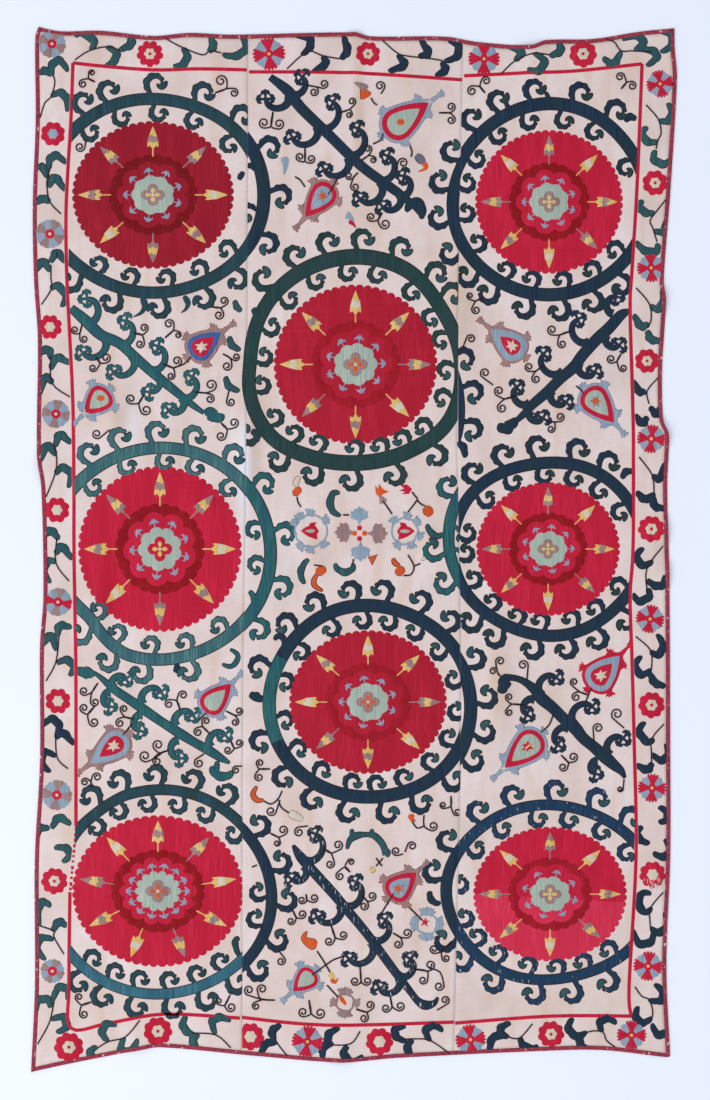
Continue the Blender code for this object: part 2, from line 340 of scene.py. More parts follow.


# Soft marks on the cotton, in pixels: middle, half width, half height and strength. They hold real brown
# stains and painted shade along the shaded flanks of folds and creases
stainsAndFoldShade = (
    (357, 120, 7, 95, 0.55), (372, 205, 14, 40, 0.30), (255, 430, 9, 42, 0.55), (258, 405, 14, 30, 0.35),
    (456, 290, 10, 60, 0.40), (500, 680, 12, 34, 0.45), (106, 400, 16, 30, 0.30), (96, 590, 10, 40, 0.25),
    (330, 540, 30, 16, 0.22), (430, 540, 22, 16, 0.35), (84, 820, 18, 40, 0.18), (150, 1010, 40, 14, 0.2),
    (560, 1005, 60, 16, 0.2), (300, 960, 40, 30, 0.15), (640, 60, 22, 14, 0.25), (210, 60, 24, 10, 0.15),
)
# Painted highlights: bluish pale patches painted on the lit flanks of folds and creases, in pixels: middle,
# half width, half height and strength
paintedHighlightPlaces = (
    (244, 470, 7, 52, 0.85), (133, 425, 6, 26, 0.45), (352, 120, 5, 60, 0.25), (90, 470, 14, 20, 0.2),
    (452, 560, 8, 60, 0.2), (286, 560, 14, 30, 0.2), (612, 330, 12, 70, 0.15), (70, 520, 6, 60, 0.3),
)


def markStrength(marks, xs, ys):
    best = np.zeros(len(xs))
    for middleX, middleY, halfX, halfY, strength in marks:
        far = ((xs - middleX) / halfX) ** 2 + ((ys - middleY) / halfY) ** 2
        best = np.maximum(best, strength * np.exp(-far))
    return best


def addMarks(mesh):
    places = np.empty(len(mesh.vertices) * 3)
    mesh.vertices.foreach_get("co", places)
    places = places.reshape(-1, 3)
    xs = places[:, 0] / cloth["pixel"] + cloth["middleX"]
    ys = cloth["middleY"] - places[:, 1] / cloth["pixel"]
    # each table becomes a vertex attribute: stains with painted fold shade, and painted highlights
    for name, marks in (("stainAndShade", stainsAndFoldShade), ("pale", paintedHighlightPlaces)):
        attribute = mesh.attributes.new(name, "FLOAT", "POINT")
        attribute.data.foreach_set("value", markStrength(marks, xs, ys))


def leftLine(along):
    return smoothValue(leftEdge, along) + cloth["braidWidth"]


def leftSeamLine(along):
    return smoothValue(leftSeam, along)


def rightSeamLine(along):
    return smoothValue(rightSeam, along)


def rightLine(along):
    return smoothValue(rightEdge, along) - cloth["braidWidth"]


def clothPoint(lowLine, highLine, share, shift, rowShare, rowShift):
    # the place at a share of the way between two lengthwise lines and between the two ends
    along = 0.0
    for _ in range(3):
        low = lowLine(along)
        across = low + (highLine(along) - low) * share + shift
        bottom = smoothValue(bottomEdge, across) + cloth["braidWidth"]
        top = smoothValue(topEdge, across) - cloth["braidWidth"]
        along = bottom + (top - bottom) * rowShare + rowShift
    return across, along


def finishPiece(mesh, name, material):
    mesh.materials.append(material)
    piece = bpy.data.objects.new(name, mesh)
    bpy.context.scene.collection.objects.link(piece)
    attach(piece, "root")
    return piece


def gridSheet(name, columns, rows, placeAt, heightAt):
    # a flat grid is laid in place, then thickened straight up
    bm = bmesh.new()
    bmesh.ops.create_grid(bm, x_segments=columns, y_segments=rows, size=1.0)
    heights = {}
    for vert in bm.verts:
        column = (vert.co.x + 1) / 2 * columns
        row = (vert.co.y + 1) / 2 * rows
        vert.co = (*placeAt(column, row), 0.0)
        heights[vert.co.to_tuple(6)] = heightAt(column, row)
    upper = bmesh.ops.extrude_face_region(bm, geom=bm.faces[:])
    for vert in upper["geom"]:
        if isinstance(vert, bmesh.types.BMVert):
            vert.co.z += heights[vert.co.to_tuple(6)]
    bmesh.ops.recalc_face_normals(bm, faces=bm.faces[:])
    for face in bm.faces:
        face.smooth = abs(face.normal.z) > 0.5
    mesh = bpy.data.meshes.new(name)
    bm.to_mesh(mesh)
    bm.free()
    layOnFolds(mesh)
    return mesh


def makePanels():
    material = cottonMaterial()
    inset = cloth["seamGap"] / 6  # from the seam's line to a panel's edge
    layout = {
        "left": (leftLine, leftSeamLine, 0.0, -inset),
        "centre": (leftSeamLine, rightSeamLine, inset, -inset),
        "right": (rightSeamLine, rightLine, inset, 0.0),
    }
    panels = {}
    for side, (lowLine, highLine, lowShift, highShift) in layout.items():
        def placeAt(column, row):
            share = column / cloth["columns"]
            shift = lowShift + (highShift - lowShift) * share
            return clothPoint(lowLine, highLine, share, shift, row / cloth["rows"], 0.0)

        mesh = gridSheet("cotton_" + side, cloth["columns"], cloth["rows"], placeAt,
                         lambda column, row: cloth["thickness"])
        addMarks(mesh)
        piece = finishPiece(mesh, "cotton_" + side, material)
        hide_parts("panel_" + side)
        panels[side] = piece
    return panels


# The edge braid, sewn over the cotton's edges
braid = {
    "columns": 4,
    "stitch": 0.0045,  # length of one plaited stitch
    "cells": 4,  # mesh rows for each stitch
    "edgeHeight": 0.0021,
    "crown": 0.0009,
    "relief": 0.00035,
    "leftLength": 2.45,
    "rightLength": 2.41,
    "endLength": 1.48,
}


def braidHeight(share, distance):
    # a rounded tape with slanted stitches that meet along its middle
    side = abs(2 * share - 1)
    slant = math.sin(2 * math.pi * (distance / braid["stitch"] + 0.5 * side))
    return braid["edgeHeight"] + braid["crown"] * (1 - side**2) + braid["relief"] * slant


def makeBraids():
    material = braidMaterial()
    width, gap = cloth["braidWidth"], cloth["seamGap"]
    pieces = {}
    for name, line, side in (("left", leftLine, -1), ("right", rightLine, 1)):
        length = braid[name + "Length"]
        rows = int(length / braid["stitch"]) * braid["cells"]

        def placeAt(column, row):
            shift = side * (gap + (width - gap) * column / braid["columns"])
            end = width if row == rows else -width if row == 0 else 0.0
            share = min(max((row - 1) / (rows - 2), 0.0), 1.0)
            return clothPoint(line, line, 0.0, shift, share, end)

        mesh = gridSheet("braid_" + name, braid["columns"], rows, placeAt,
                         lambda column, row: braidHeight(column / braid["columns"], row * length / rows))
        pieces[name] = finishPiece(mesh, "edging_" + name, material)
    for name, rowShare, side in (("bottom", 0.0, -1), ("top", 1.0, 1)):
        length = braid["endLength"]
        columns = int(length / braid["stitch"]) * braid["cells"]

        def placeAt(column, row):
            shift = side * (gap + (width - gap) * row / braid["columns"])
            return clothPoint(leftLine, rightLine, column / columns, 0.0, rowShare, shift)

        mesh = gridSheet("braid_" + name, columns, braid["columns"], placeAt,
                         lambda column, row: braidHeight(row / braid["columns"], column * length / columns))
        pieces[name] = finishPiece(mesh, "edging_" + name, material)
    for name, piece in pieces.items():
        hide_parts("braid_" + name)
    return pieces


# Stitched shapes, each raised above the cotton
stitching = {
    "haloTop": 0.0004,  # height of the dark outline above the cotton
    "step": 0.0003,  # rise from one layer of stitches to the next
    "edge": 0.0009,  # width of a shape's rounded edge
    "depth": 0.0006,  # drop of that edge
    "foldCell": 0.008,  # how finely a shape is cut where it lies on a fold
    "halo": 0.9,  # width of the dark outline, in pixels
    "nudge": 0.0000035,  # keeps shapes that cross from lying in one plane
    "nudges": 29,
    "sideMargin": 3,  # from the cloth's sides to the stitching, in pixels
    "endMargin": 2.5,  # from its ends
    "stripeMargin": 2.0,  # from the red stripe to the border's leaves
    "seamInset": 0.04,
}
# The field inside the red stripes, in pixels
field = {"left": 80, "right": 624, "top": 80, "bottom": 1005}
shapes = {}  # stitched shapes, by thread and panel
runs = {}  # single lines of chain stitch, by thread and panel
spareMesh = bpy.data.meshes.new("spare")

leftStripe = (
    (63, 73), (120, 71), (169, 68), (219, 66), (280, 67), (340, 70), (406, 73), (489, 74), (612, 75),
    (679, 76), (826, 76), (892, 70), (985, 69), (1028, 71),
)
rightStripe = (
    (64, 642), (186, 637), (269, 632), (311, 630), (422, 633), (546, 633), (596, 630), (662, 632),
    (740, 634), (856, 636), (985, 629), (1015, 631),
)


def seamX(table, y):
    along = onCloth(0, y)[1]
    return smoothValue(table, along) / cloth["pixel"] + cloth["middleX"]


def sideX(area, panel, side, y):
    # where a panel's stitched ground ends at a height in the photograph
    margin = stitching["sideMargin"]
    if panel == "left" and side < 0:
        return smoothValue(leftStripe, y) if area == "field" else seamX(leftEdge, y) + margin
    if panel == "right" and side > 0:
        return smoothValue(rightStripe, y) if area == "field" else seamX(rightEdge, y) - margin
    table = leftSeam if (panel == "left" or (panel == "centre" and side < 0)) else rightSeam
    return seamX(table, y) - side * stitching["seamInset"]


def endY(table, x):
    return cloth["middleY"] - smoothValue(table, onCloth(x, 0)[0]) / cloth["pixel"]


def panelAt(x, y):
    if x < seamX(leftSeam, y):
        return "left"
    return "centre" if x < seamX(rightSeam, y) else "right"


def cutBeyond(piece, first, second, inside):
    # cuts away what lies across the line through two places in pixels from the inside place
    start, end, kept = (Vector((*onCloth(*place), 0)) for place in (first, second, inside))
    away = (end - start).cross(Vector((0, 0, 1)))
    if away.dot(kept - start) > 0:
        away.negate()
    everything = piece.verts[:] + piece.edges[:] + piece.faces[:]
    bmesh.ops.bisect_plane(piece, geom=everything, plane_co=start, plane_no=away, clear_outer=True)


def clipToPanel(piece, area, panel, outline):
    xs = [point[0] for point in outline]
    ys = [point[1] for point in outline]
    lowX, highX, lowY, highY = min(xs), max(xs), min(ys), max(ys)
    middleY = (lowY + highY) / 2
    inside = ((sideX(area, panel, -1, middleY) + sideX(area, panel, 1, middleY)) / 2, middleY)
    for side in (-1, 1):
        if any(side * (x - sideX(area, panel, side, y)) > 0 for x, y in outline):
            cutBeyond(piece, (sideX(area, panel, side, lowY), lowY), (sideX(area, panel, side, highY), highY),
                      inside)
    if area != "border":
        return
    for table, side in ((topEdge, -1), (bottomEdge, 1)):
        margin = -side * stitching["endMargin"]
        ends = [(x, endY(table, x) + margin) for x in (lowX, highX)]
        if any(side * (y - endY(table, x) - margin) > 0 for x, y in outline):
            cutBeyond(piece, *ends, (ends[0][0], ends[0][1] - 20 * side))
    middleX = (lowX + highX) / 2
    if not field["top"] < middleY < field["bottom"]:
        return
    if middleX < field["left"]:
        line = [(smoothValue(leftStripe, y) - stitching["stripeMargin"], y) for y in (lowY, highY)]
        cutBeyond(piece, *line, (field["left"] - 50, middleY))
    if middleX > field["right"]:
        line = [(smoothValue(rightStripe, y) + stitching["stripeMargin"], y) for y in (lowY, highY)]
        cutBeyond(piece, *line, (field["right"] + 56, middleY))


def cutOverFolds(piece):
    # cuts a shape into small cells where a fold passes under it
    xs = [vert.co.x for vert in piece.verts]
    ys = [vert.co.y for vert in piece.verts]
    if not nearFold(min(xs), max(xs), min(ys), max(ys)):
        return
    for axis, low, high, cell in ((0, min(xs), max(xs), 1), (1, min(ys), max(ys), 2)):
        gap = stitching["foldCell"] * cell
        for index in range(math.ceil(low / gap), math.floor(high / gap) + 1):
            place, normal = Vector((0, 0, 0)), Vector((0, 0, 0))
            place[axis], normal[axis] = index * gap, 1
            box = (place[axis], place[axis], min(ys), max(ys)) if axis == 0 else (
                min(xs), max(xs), place[axis], place[axis])
            if nearFold(*box):
                everything = piece.verts[:] + piece.edges[:] + piece.faces[:]
                bmesh.ops.bisect_plane(piece, geom=everything, plane_co=place, plane_no=normal)


def patch(thread, panel, outline, level=1, inner=None, area="field"):
    # fills an outline, in pixels, with raised stitches; inner is the outline of a hole, with as
    # many points, where the shape is a band
    piece = bmesh.new()
    outer = [piece.verts.new((*onCloth(x, y), 0)) for x, y in outline]
    if inner is None:
        piece.faces.new(outer)
    else:
        hole = [piece.verts.new((*onCloth(x, y), 0)) for x, y in inner]
        for here in range(len(outer)):
            back = here - 1
            piece.faces.new((outer[back], outer[here], hole[here], hole[back]))
    piece.normal_update()
    if sum(face.normal.z * face.calc_area() for face in piece.faces) < 0:
        bmesh.ops.reverse_faces(piece, faces=piece.faces[:])
    clipToPanel(piece, area, panel, outline)
    if len(piece.faces) > 0:
        bmesh.ops.inset_region(piece, faces=piece.faces[:], thickness=stitching["edge"],
                               use_boundary=True, use_even_offset=False)
        family = shapes.setdefault((thread, panel), bmesh.new())
        nudge = len(family.verts) % stitching["nudges"] * stitching["nudge"]
        top = cloth["thickness"] + stitching["haloTop"] + stitching["step"] * level + nudge
        for vert in piece.verts:
            vert.co.z = top - stitching["depth"] if vert.is_boundary else top
        cutOverFolds(piece)
        bmesh.ops.triangulate(piece, faces=piece.faces[:])
        piece.normal_update()
        bmesh.ops.reverse_faces(piece, faces=[face for face in piece.faces if face.normal.z < 0])
        for face in piece.faces:
            face.smooth = True
        piece.to_mesh(spareMesh)
        family.from_mesh(spareMesh)
    piece.free()


def strand(thread, panel, points, half=0.55, area="field"):
    # a line of chain stitch through points in pixels, kept inside its panel
    kept = []
    for x, y in points:
        inside = all(side * (x - sideX(area, panel, side, y)) <= 0 for side in (-1, 1))
        if inside:
            kept.append((x, y))
            continue
        if len(kept) > 1:
            runs.setdefault((thread, panel), []).append((kept, half))
        kept = []
    if len(kept) > 1:
        runs.setdefault((thread, panel), []).append((kept, half))


def makeStitching(materials):
    pieces = {"left": [], "centre": [], "right": []}
    for (thread, panel), bm in sorted(shapes.items()):
        mesh = bpy.data.meshes.new(thread + "_" + panel)
        bm.to_mesh(mesh)
        bm.free()
        layOnFolds(mesh)
        pieces[panel].append(finishPiece(mesh, thread + "Stitches_" + panel, materials[thread]))
    for (thread, panel), lines in sorted(runs.items()):
        curve = bpy.data.curves.new(thread + "Run", "CURVE")
        curve.dimensions = "3D"
        curve.bevel_depth = cloth["pixel"]
        curve.bevel_resolution = 1
        curve.use_fill_caps = True
        for points, half in lines:
            spline = curve.splines.new("POLY")
            spline.points.add(len(points) - 1)
            for point, (x, y) in zip(spline.points, points):
                point.co = (*onCloth(x, y), cloth["thickness"] + 0.0003, 1)
                point.radius = half
        holder = bpy.data.objects.new(thread + "Run", curve)
        bpy.context.scene.collection.objects.link(holder)
        graph = bpy.context.evaluated_depsgraph_get()
        mesh = bpy.data.meshes.new_from_object(holder.evaluated_get(graph))
        bpy.data.objects.remove(holder)
        bm = bmesh.new()
        bm.from_mesh(mesh)
        bmesh.ops.remove_doubles(bm, verts=bm.verts[:], dist=0.00001)
        bmesh.ops.recalc_face_normals(bm, faces=bm.faces[:])
        for face in bm.faces:
            face.smooth = True
        bm.to_mesh(mesh)
        bm.free()
        layOnFolds(mesh)
        mesh.materials.clear()
        pieces[panel].append(finishPiece(mesh, thread + "Line_" + panel, materials[thread]))
    return pieces


def through(points, steps, closed=False):
    # a smooth curve through points of any number of values
    count = len(points)
    spans = count if closed else count - 1
    result = []
    for index in range(spans):
        if closed:
            p0, p1, p2, p3 = (points[(index + k) % count] for k in (-1, 0, 1, 2))
        else:
            p0, p1, p2, p3 = (points[min(max(index + k, 0), count - 1)] for k in (-1, 0, 1, 2))
        for step in range(steps):
            t = step / steps
            result.append(tuple(
                0.5 * (2 * b + (c - a) * t + (2 * a - 5 * b + 4 * c - d) * t * t
                       + (3 * b - a - 3 * c + d) * t**3)
                for a, b, c, d in zip(p0, p1, p2, p3)
            ))
    if not closed:
        result.append(tuple(points[-1]))
    return result


def normals(points, closed):
    result = []
    count = len(points)
    for index in range(count):
        before = points[index - 1] if closed or index > 0 else points[0]
        after = points[(index + 1) % count] if closed or index < count - 1 else points[-1]
        runX, runY = after[0] - before[0], after[1] - before[1]
        length = math.hypot(runX, runY) or 1.0
        result.append((runY / length, -runX / length))
    return result


def grown(points, by):
    # a closed outline moved outwards
    area = sum(points[k - 1][0] * points[k][1] - points[k][0] * points[k - 1][1] for k in range(len(points)))
    sign = 1 if area > 0 else -1
    return [(x + nx * by * sign, y + ny * by * sign)
            for (x, y), (nx, ny) in zip(points, normals(points, True))]


def ribbon(spine, steps=6, lobes=0, scallop=0.0, extra=0.0):
    # the outline of a strip along a spine of (x, y, half width), scalloped on its left side
    line = through(spine, steps)
    left, right = [], []
    for index, ((x, y, half), (nx, ny)) in enumerate(zip(line, normals(line, False))):
        share = index / (len(line) - 1)
        wave = scallop * abs(math.sin(math.pi * lobes * share)) if lobes else 0.0
        left.append((x + nx * (half + wave + extra), y + ny * (half + wave + extra)))
        right.append((x - nx * (half + extra), y - ny * (half + extra)))
    return left + right[::-1]


def placed(points, x, y, angle, size=1.0, turn=1):
    # points with u to the right and v up, turned clockwise by angle degrees and put at x, y; a
    # turn of -1 mirrors them first
    sine, cosine = math.sin(math.radians(angle)), math.cos(math.radians(angle))
    result = []
    for point in points:
        u, v = point[0] * size * turn, point[1] * size
        moved = (x + u * cosine + v * sine, y + u * sine - v * cosine)
        result.append((*moved, point[2] * size) if len(point) > 2 else moved)
    return result


def lobed(x, y, radiusX, radiusY, lobes, depth, perLobe=6, phase=0.0, sharp=0.6):
    # a round outline with outward lobes
    count = lobes * perLobe
    result = []
    for index in range(count):
        angle = 2 * math.pi * index / count
        bulge = abs(math.sin(lobes * angle / 2 + phase)) ** sharp
        shrink = depth * (1 - bulge)
        result.append((x + (radiusX - shrink) * math.sin(angle), y - (radiusY - shrink) * math.cos(angle)))
    return result


def outlined(thread, panel, outline):
    patch("dark", panel, grown(outline, stitching["halo"]), 0)
    patch(thread, panel, outline)


hook = {
    "spine": ((0.0, -1.5, 1.6), (-1.8, 3.0, 1.7), (-3.8, 8.0, 2.3), (-3.6, 13.4, 2.6), (0.6, 17.8, 2.5),
              (6.2, 18.6, 1.9), (10.4, 16.2, 1.4), (12.0, 13.2, 1.1)),
    "head": ((11.0, 13.6), (12.6, 13.6), (13.4, 12.0), (16.2, 13.4), (17.6, 12.2), (17.0, 8.6), (14.4, 5.4),
             (11.2, 4.4), (8.2, 5.8), (6.4, 8.4), (6.6, 10.6), (9.2, 9.8), (10.8, 11.4)),
    "lobes": 6,
    "scallop": 1.3,
}


def stitchHook(panel, x, y, angle, size, turn, body, head, area="field"):
    spine = placed(hook["spine"], x, y, angle, size, turn)
    if turn < 0:
        spine = spine[::-1]
    lobes, scallop = hook["lobes"], hook["scallop"] * size
    tip = through(placed(hook["head"], x, y, angle, size, turn), 2, True)
    halo = stitching["halo"]
    patch("dark", panel, ribbon(spine, 4, lobes, scallop, halo), 0, None, area)
    patch(body, panel, ribbon(spine, 4, lobes, scallop), 1, None, area)
    patch("dark", panel, grown(tip, halo * 0.7), 1.4 if head != body else 0, None, area)
    patch(head, panel, grown(tip, -0.2), 1.8, None, area)


medallion = {
    "radius": 78.0,  # nominal radius, to which the sizes below belong
    "scallops": 60,
    "scallopDepth": 2.6,
    "darkOuter": 43.0,
    "darkInner": 35.0,
    "sprigRadius": 25.5,
    "flower": 21.0,
    "quatrefoil": 12.0,
    "budTip": 72.5,
    "budBase": 51.0,
    "budStem": 40.0,
    "budWidth": 11.0,
    "petals": 9,
    "buds": 8,
}
# Each medallion: the disc (middle and radii), the ring (middle, outer and inner radii), the threads in
# each panel with the ring's step sideways and down at the seam, and the roots of its hooks outside and
# in, which may hold a tilt and a size. The flower is turned by spin degrees, a bend says how far the
# ring leaves its ellipse by the angle from its top, and relaid stretches are in another thread.
medallions = (
    dict(panel="left", disc=(153, 195, 81, 74), ring=(153, 196, 117, 102, 105, 91), spin=10,
         grounds=(("left", "green", "green", 0, 0), ("centre", "navy", "leaf", 1, -2)), turn=1,
         reds=("wine", "maroon"),
         outer=((84, 113), (107, 101), (151, 95), (195, 103), (232, 121), (259, 150), (270, 194), (257, 236),
                (234, 268), (206, 291), (163, 299), (119, 293), (85, 271)),
         inner=((84, 130), (115, 110), (155, 106), (192, 114), (231, 137), (262, 214), (236, 252), (204, 271),
                (171, 285), (134, 280), (103, 267))),
    dict(panel="right", disc=(549, 202, 74, 72), ring=(549, 200, 103, 101, 92, 89), spin=10,
         grounds=(("right", "navy", "forest", 0, 0), ("centre", "navy", "leaf", 2, 4)), turn=1,
         reds=("red", "darkRed"),
         outer=((476, 130), (501, 115), (532, 103), (574, 101), (610, 112), (449, 152), (446, 184), (446, 217),
                (453, 252), (476, 274), (498, 286), (530, 300), (563, 301), (593, 291), (618, 274)),
         inner=((467, 158), (494, 136), (525, 120), (561, 115), (596, 121), (633, 160), (460, 186), (462, 218),
                (478, 248), (505, 281), (534, 289), (568, 288), (597, 271), (624, 252))),
    dict(panel="centre", disc=(355.5, 364.5, 82, 80), ring=(356, 360, 111.5, 110.6, 99, 96), spin=-12,
         grounds=(("centre", "forest", "leaf", 0, 0), ("left", "forest", "leaf", 0, 0),
                  ("right", "navy", "leaf", -3, 36)), turn=1, reds=("crimson", "garnet"),
         bend=((0, 0), (30, -1), (60, -5), (90, -1), (125, 6), (150, 2), (180, 0), (205, 3), (225, 9),
               (240, 9), (255, 6), (270, 1), (300, 0)), heart="orange",
         outer=((358, 249), (325, 250), (394, 254), (295, 265), (427, 277), (441, 297), (272, 284, -35, 1.05),
                (462, 320), (470, 352), (467, 387), (434, 446), (396, 465), (356, 470), (319, 470), (287, 457),
                (257, 434)),
         inner=((343, 266), (308, 274), (375, 266), (413, 283), (437, 309), (450, 333), (457, 367), (453, 398),
                (432, 430), (409, 443), (386, 452), (359, 458), (318, 455), (292, 443), (270, 426), (256, 391),
                (257, 361), (262, 328), (280, 297))),
    dict(panel="left", disc=(160, 549, 82, 83), ring=(160, 553, 115.5, 111, 104, 100), spin=7,
         grounds=(("left", "jade", "emerald", 0, 0), ("centre", "emerald", "emerald", 1, 0)), turn=1,
         reds=("red", "darkRed"), quatre="red",
         bend=((0, 0), (195, 0), (206, -3), (217, -8), (228, -11), (262, 0)),
         outer=((91, 464), (119, 449), (153, 442), (188, 443), (227, 458), (260, 481), (275, 531), (274, 581),
                (256, 622), (192, 664), (147, 664), (118, 649), (91, 629)),
         inner=((86, 485), (121, 461), (161, 452), (195, 456), (231, 480), (263, 523), (265, 562), (229, 632),
                (192, 651), (154, 651), (119, 639), (95, 621))),
    dict(panel="right", disc=(548, 549, 72, 67), ring=(548, 548, 101, 92, 90.5, 81), spin=-11,
         grounds=(("right", "navy", "forest", 0, 0), ("centre", "emerald", "leaf", -4, -10)), turn=1,
         reds=("red", "darkRed"),
         outer=((478, 485), (504, 468), (534, 455), (573, 452), (603, 464), (446, 500), (447, 563), (453, 595),
                (480, 618), (504, 628), (538, 639), (569, 638), (596, 627), (621, 609)),
         inner=((481, 499), (508, 480), (540, 467), (573, 466), (601, 480), (625, 504), (461, 536), (460, 558),
                (466, 588), (488, 614), (518, 626), (544, 628), (576, 622), (600, 609), (624, 586))),
    dict(panel="centre", disc=(368, 702, 79, 72), ring=(370, 702, 107, 102, 95, 90), spin=11,
         grounds=(("centre", "navy", "leaf", 0, 0), ("right", "navy", "leaf", 0, 6)), turn=-1,
         reds=("crimson", "garnet"), heart="orange",
         relaid=(("centre", "emerald", 246, 298),),
         outer=((298, 630), (324, 612), (356, 601), (386, 600), (423, 607), (452, 626), (272, 667), (268, 734),
                (288, 767), (312, 790), (345, 804), (382, 804), (413, 796), (444, 777), (464, 754), (476, 728),
                (479, 696), (472, 659)),
         inner=((303, 648), (334, 624), (366, 614), (394, 615), (423, 626), (452, 646), (461, 682), (461, 716),
                (449, 743), (431, 768), (401, 782), (373, 789), (347, 789), (314, 775), (291, 749), (275, 718),
                (280, 676))),
    dict(panel="left", disc=(158, 891, 86, 76), ring=(158, 891.5, 117, 106, 107, 96.5),
         grounds=(("left", "green", "green", 0, 0), ("centre", "navy", "leaf", 1, 5)), turn=-1,
         reds=("red", "darkRed"), petals=14, buds=9, heart="orange", relaid=(("left", "teal", 118, 262),),
         bend=((0, 0), (240, 0), (300, -8), (312, -6), (325, -4), (342, 0)),
         outer=((100, 803), (126, 788), (160, 784), (194, 792), (226, 804), (252, 831), (269, 865), (276, 899),
                (271, 937), (249, 963), (228, 978), (199, 991), (168, 998), (133, 998), (101, 988), (81, 971)),
         inner=((96, 819), (120, 803), (151, 796), (183, 799), (213, 808), (240, 834), (266, 891), (265, 921),
                (219, 967), (194, 978), (166, 985), (135, 985), (109, 977), (85, 962))),
    dict(panel="right", disc=(550, 894, 77, 67.5), ring=(550, 892.5, 109, 92, 98.5, 82.5), spin=-7,
         grounds=(("right", "midnight", "leaf", 0, 0), ("centre", "navy", "leaf", 0, 0)), turn=1,
         reds=("rose", "garnet"), petals=8, upper="red",
         outer=((479, 821), (511, 806), (551, 799), (592, 803), (620, 824), (457, 851), (443, 878), (453, 940),
                (467, 960), (501, 975), (539, 987), (575, 985), (612, 977)),
         inner=((470, 849), (496, 826), (533, 812), (566, 812), (602, 822), (628, 846), (461, 888), (460, 925),
                (478, 943), (500, 959), (530, 974), (561, 973), (589, 968), (620, 957))),
)


heartPetal = ((0, 1.2), (1.8, 3.2), (2.2, 5.2), (1, 7.2), (-1, 7.2), (-2.2, 5.2), (-1.8, 3.2))
sprig = ((0.5, -6), (0.6, -1), (2.6, -0.6), (4.4, -2.2), (4.2, 0.4), (2.4, 1.8), (1.2, 3.8), (0, 2.6),
         (-1.2, 3.8), (-2.4, 1.8), (-4.2, 0.4), (-4.4, -2.2), (-2.6, -0.6), (-0.6, -1), (-0.5, -6))


def budOutline(tip, base, stem, width):
    half = width / 2
    side = [(0, tip), (half * 0.34, tip - 4.5), (half * 0.7, tip - 10), (half * 0.94, base + 6),
            (half, base + 2), (half * 0.96, base - 0.8), (half * 0.5, base + 0.8),
            (half * 0.3, base - 1.4), (0.75, base - 2), (0.75, stem)]
    return side + [(-u, v) for u, v in side[:0:-1]]


def stitchDisc(spec, number):
    panel = spec["panel"]
    middleX, middleY, radiusX, radiusY = spec["disc"]
    scaleX, scaleY = radiusX / medallion["radius"], radiusY / medallion["radius"]

    def fit(points):
        return [(middleX + x * scaleX, middleY + y * scaleY) for x, y in points]

    def spot(radius, lobes, depth, phase=0.0, sharp=0.6, perLobe=6):
        return fit(lobed(0, 0, radius, radius, lobes, depth, perLobe, phase, sharp))

    def turned(points, angle, radius=0.0):
        sine, cosine = math.sin(math.radians(angle)), math.cos(math.radians(angle))
        return fit(placed(points, radius * sine, -radius * cosine, angle))

    field, shade = spec["reds"]
    rim = spot(medallion["radius"], medallion["scallops"], medallion["scallopDepth"])
    patch(field, panel, rim, 1)
    if "upper" in spec:
        quarter = len(rim) // 4
        patch(spec["upper"], panel, rim[-quarter:] + rim[:quarter + 8], 1.2)
    petals, spin = spec.get("petals", medallion["petals"]), spec.get("spin", 0)
    phase = -petals * math.radians(spin) / 2
    outer = spot(medallion["darkOuter"], 24, 2.2, 0, 0.6, 10)
    inner = fit([(medallion["darkInner"] * x, medallion["darkInner"] * y) for x, y in
                 lobed(0, 0, 1, 1, petals, 0.16, 240 // petals, phase, 0.7)])
    inner = inner[:240] + inner[-1:] * max(0, 240 - len(inner))
    patch(shade, panel, outer, 2, inner)
    for index in range(petals):
        angle = 360 / petals * (index + 0.5) + spin
        patch("sprig", panel, turned(sprig, angle, medallion["sprigRadius"]), 2.5)
    patch("mint", panel, spot(medallion["flower"], petals, 3.2, phase), 3)
    quatrefoil = spot(medallion["quatrefoil"], 4, 4.6, math.pi / 2, 0.8, 10)
    patch(spec.get("quatre", "brown"), panel, quatrefoil, 4)
    for angle in (0, 90, 180, 270):
        patch(spec.get("heart", "yellow"), panel, turned(heartPetal, angle), 5)
    patch("pale", panel, spot(1.7, 4, 0.4), 5.6)
    buds = spec.get("buds", medallion["buds"])
    for index in range(buds):
        stitchBud(panel, turned, 360 / buds * index, (index + number) % 3)


def stitchBud(panel, turned, angle, kind):
    tip, base = medallion["budTip"], medallion["budBase"]
    half = medallion["budWidth"] / 2
    first, second = (("yellow", "brown"), ("brown", "yellow"), ("yellow", "pale"))[kind]
    patch(first, panel, turned(budOutline(tip, base, medallion["budStem"], medallion["budWidth"]), angle), 2)
    low, high = base + 4, base + 12.5
    band = [(-half * 0.92, low), (-half * 0.4, low + 1.4), (0, low - 0.8), (half * 0.5, low + 1.2),
            (half * 0.92, low), (half * 0.78, high - 1), (half * 0.3, high - 2.4), (-half * 0.2, high),
            (-half * 0.66, high - 1)]
    patch(second, panel, turned(band, angle), 3)


def bendAt(spec, angle):
    # how far a ring leaves its ellipse at an angle clockwise from the top
    return smoothValue(spec["bend"], math.degrees(angle) % 360) if "bend" in spec else 0.0


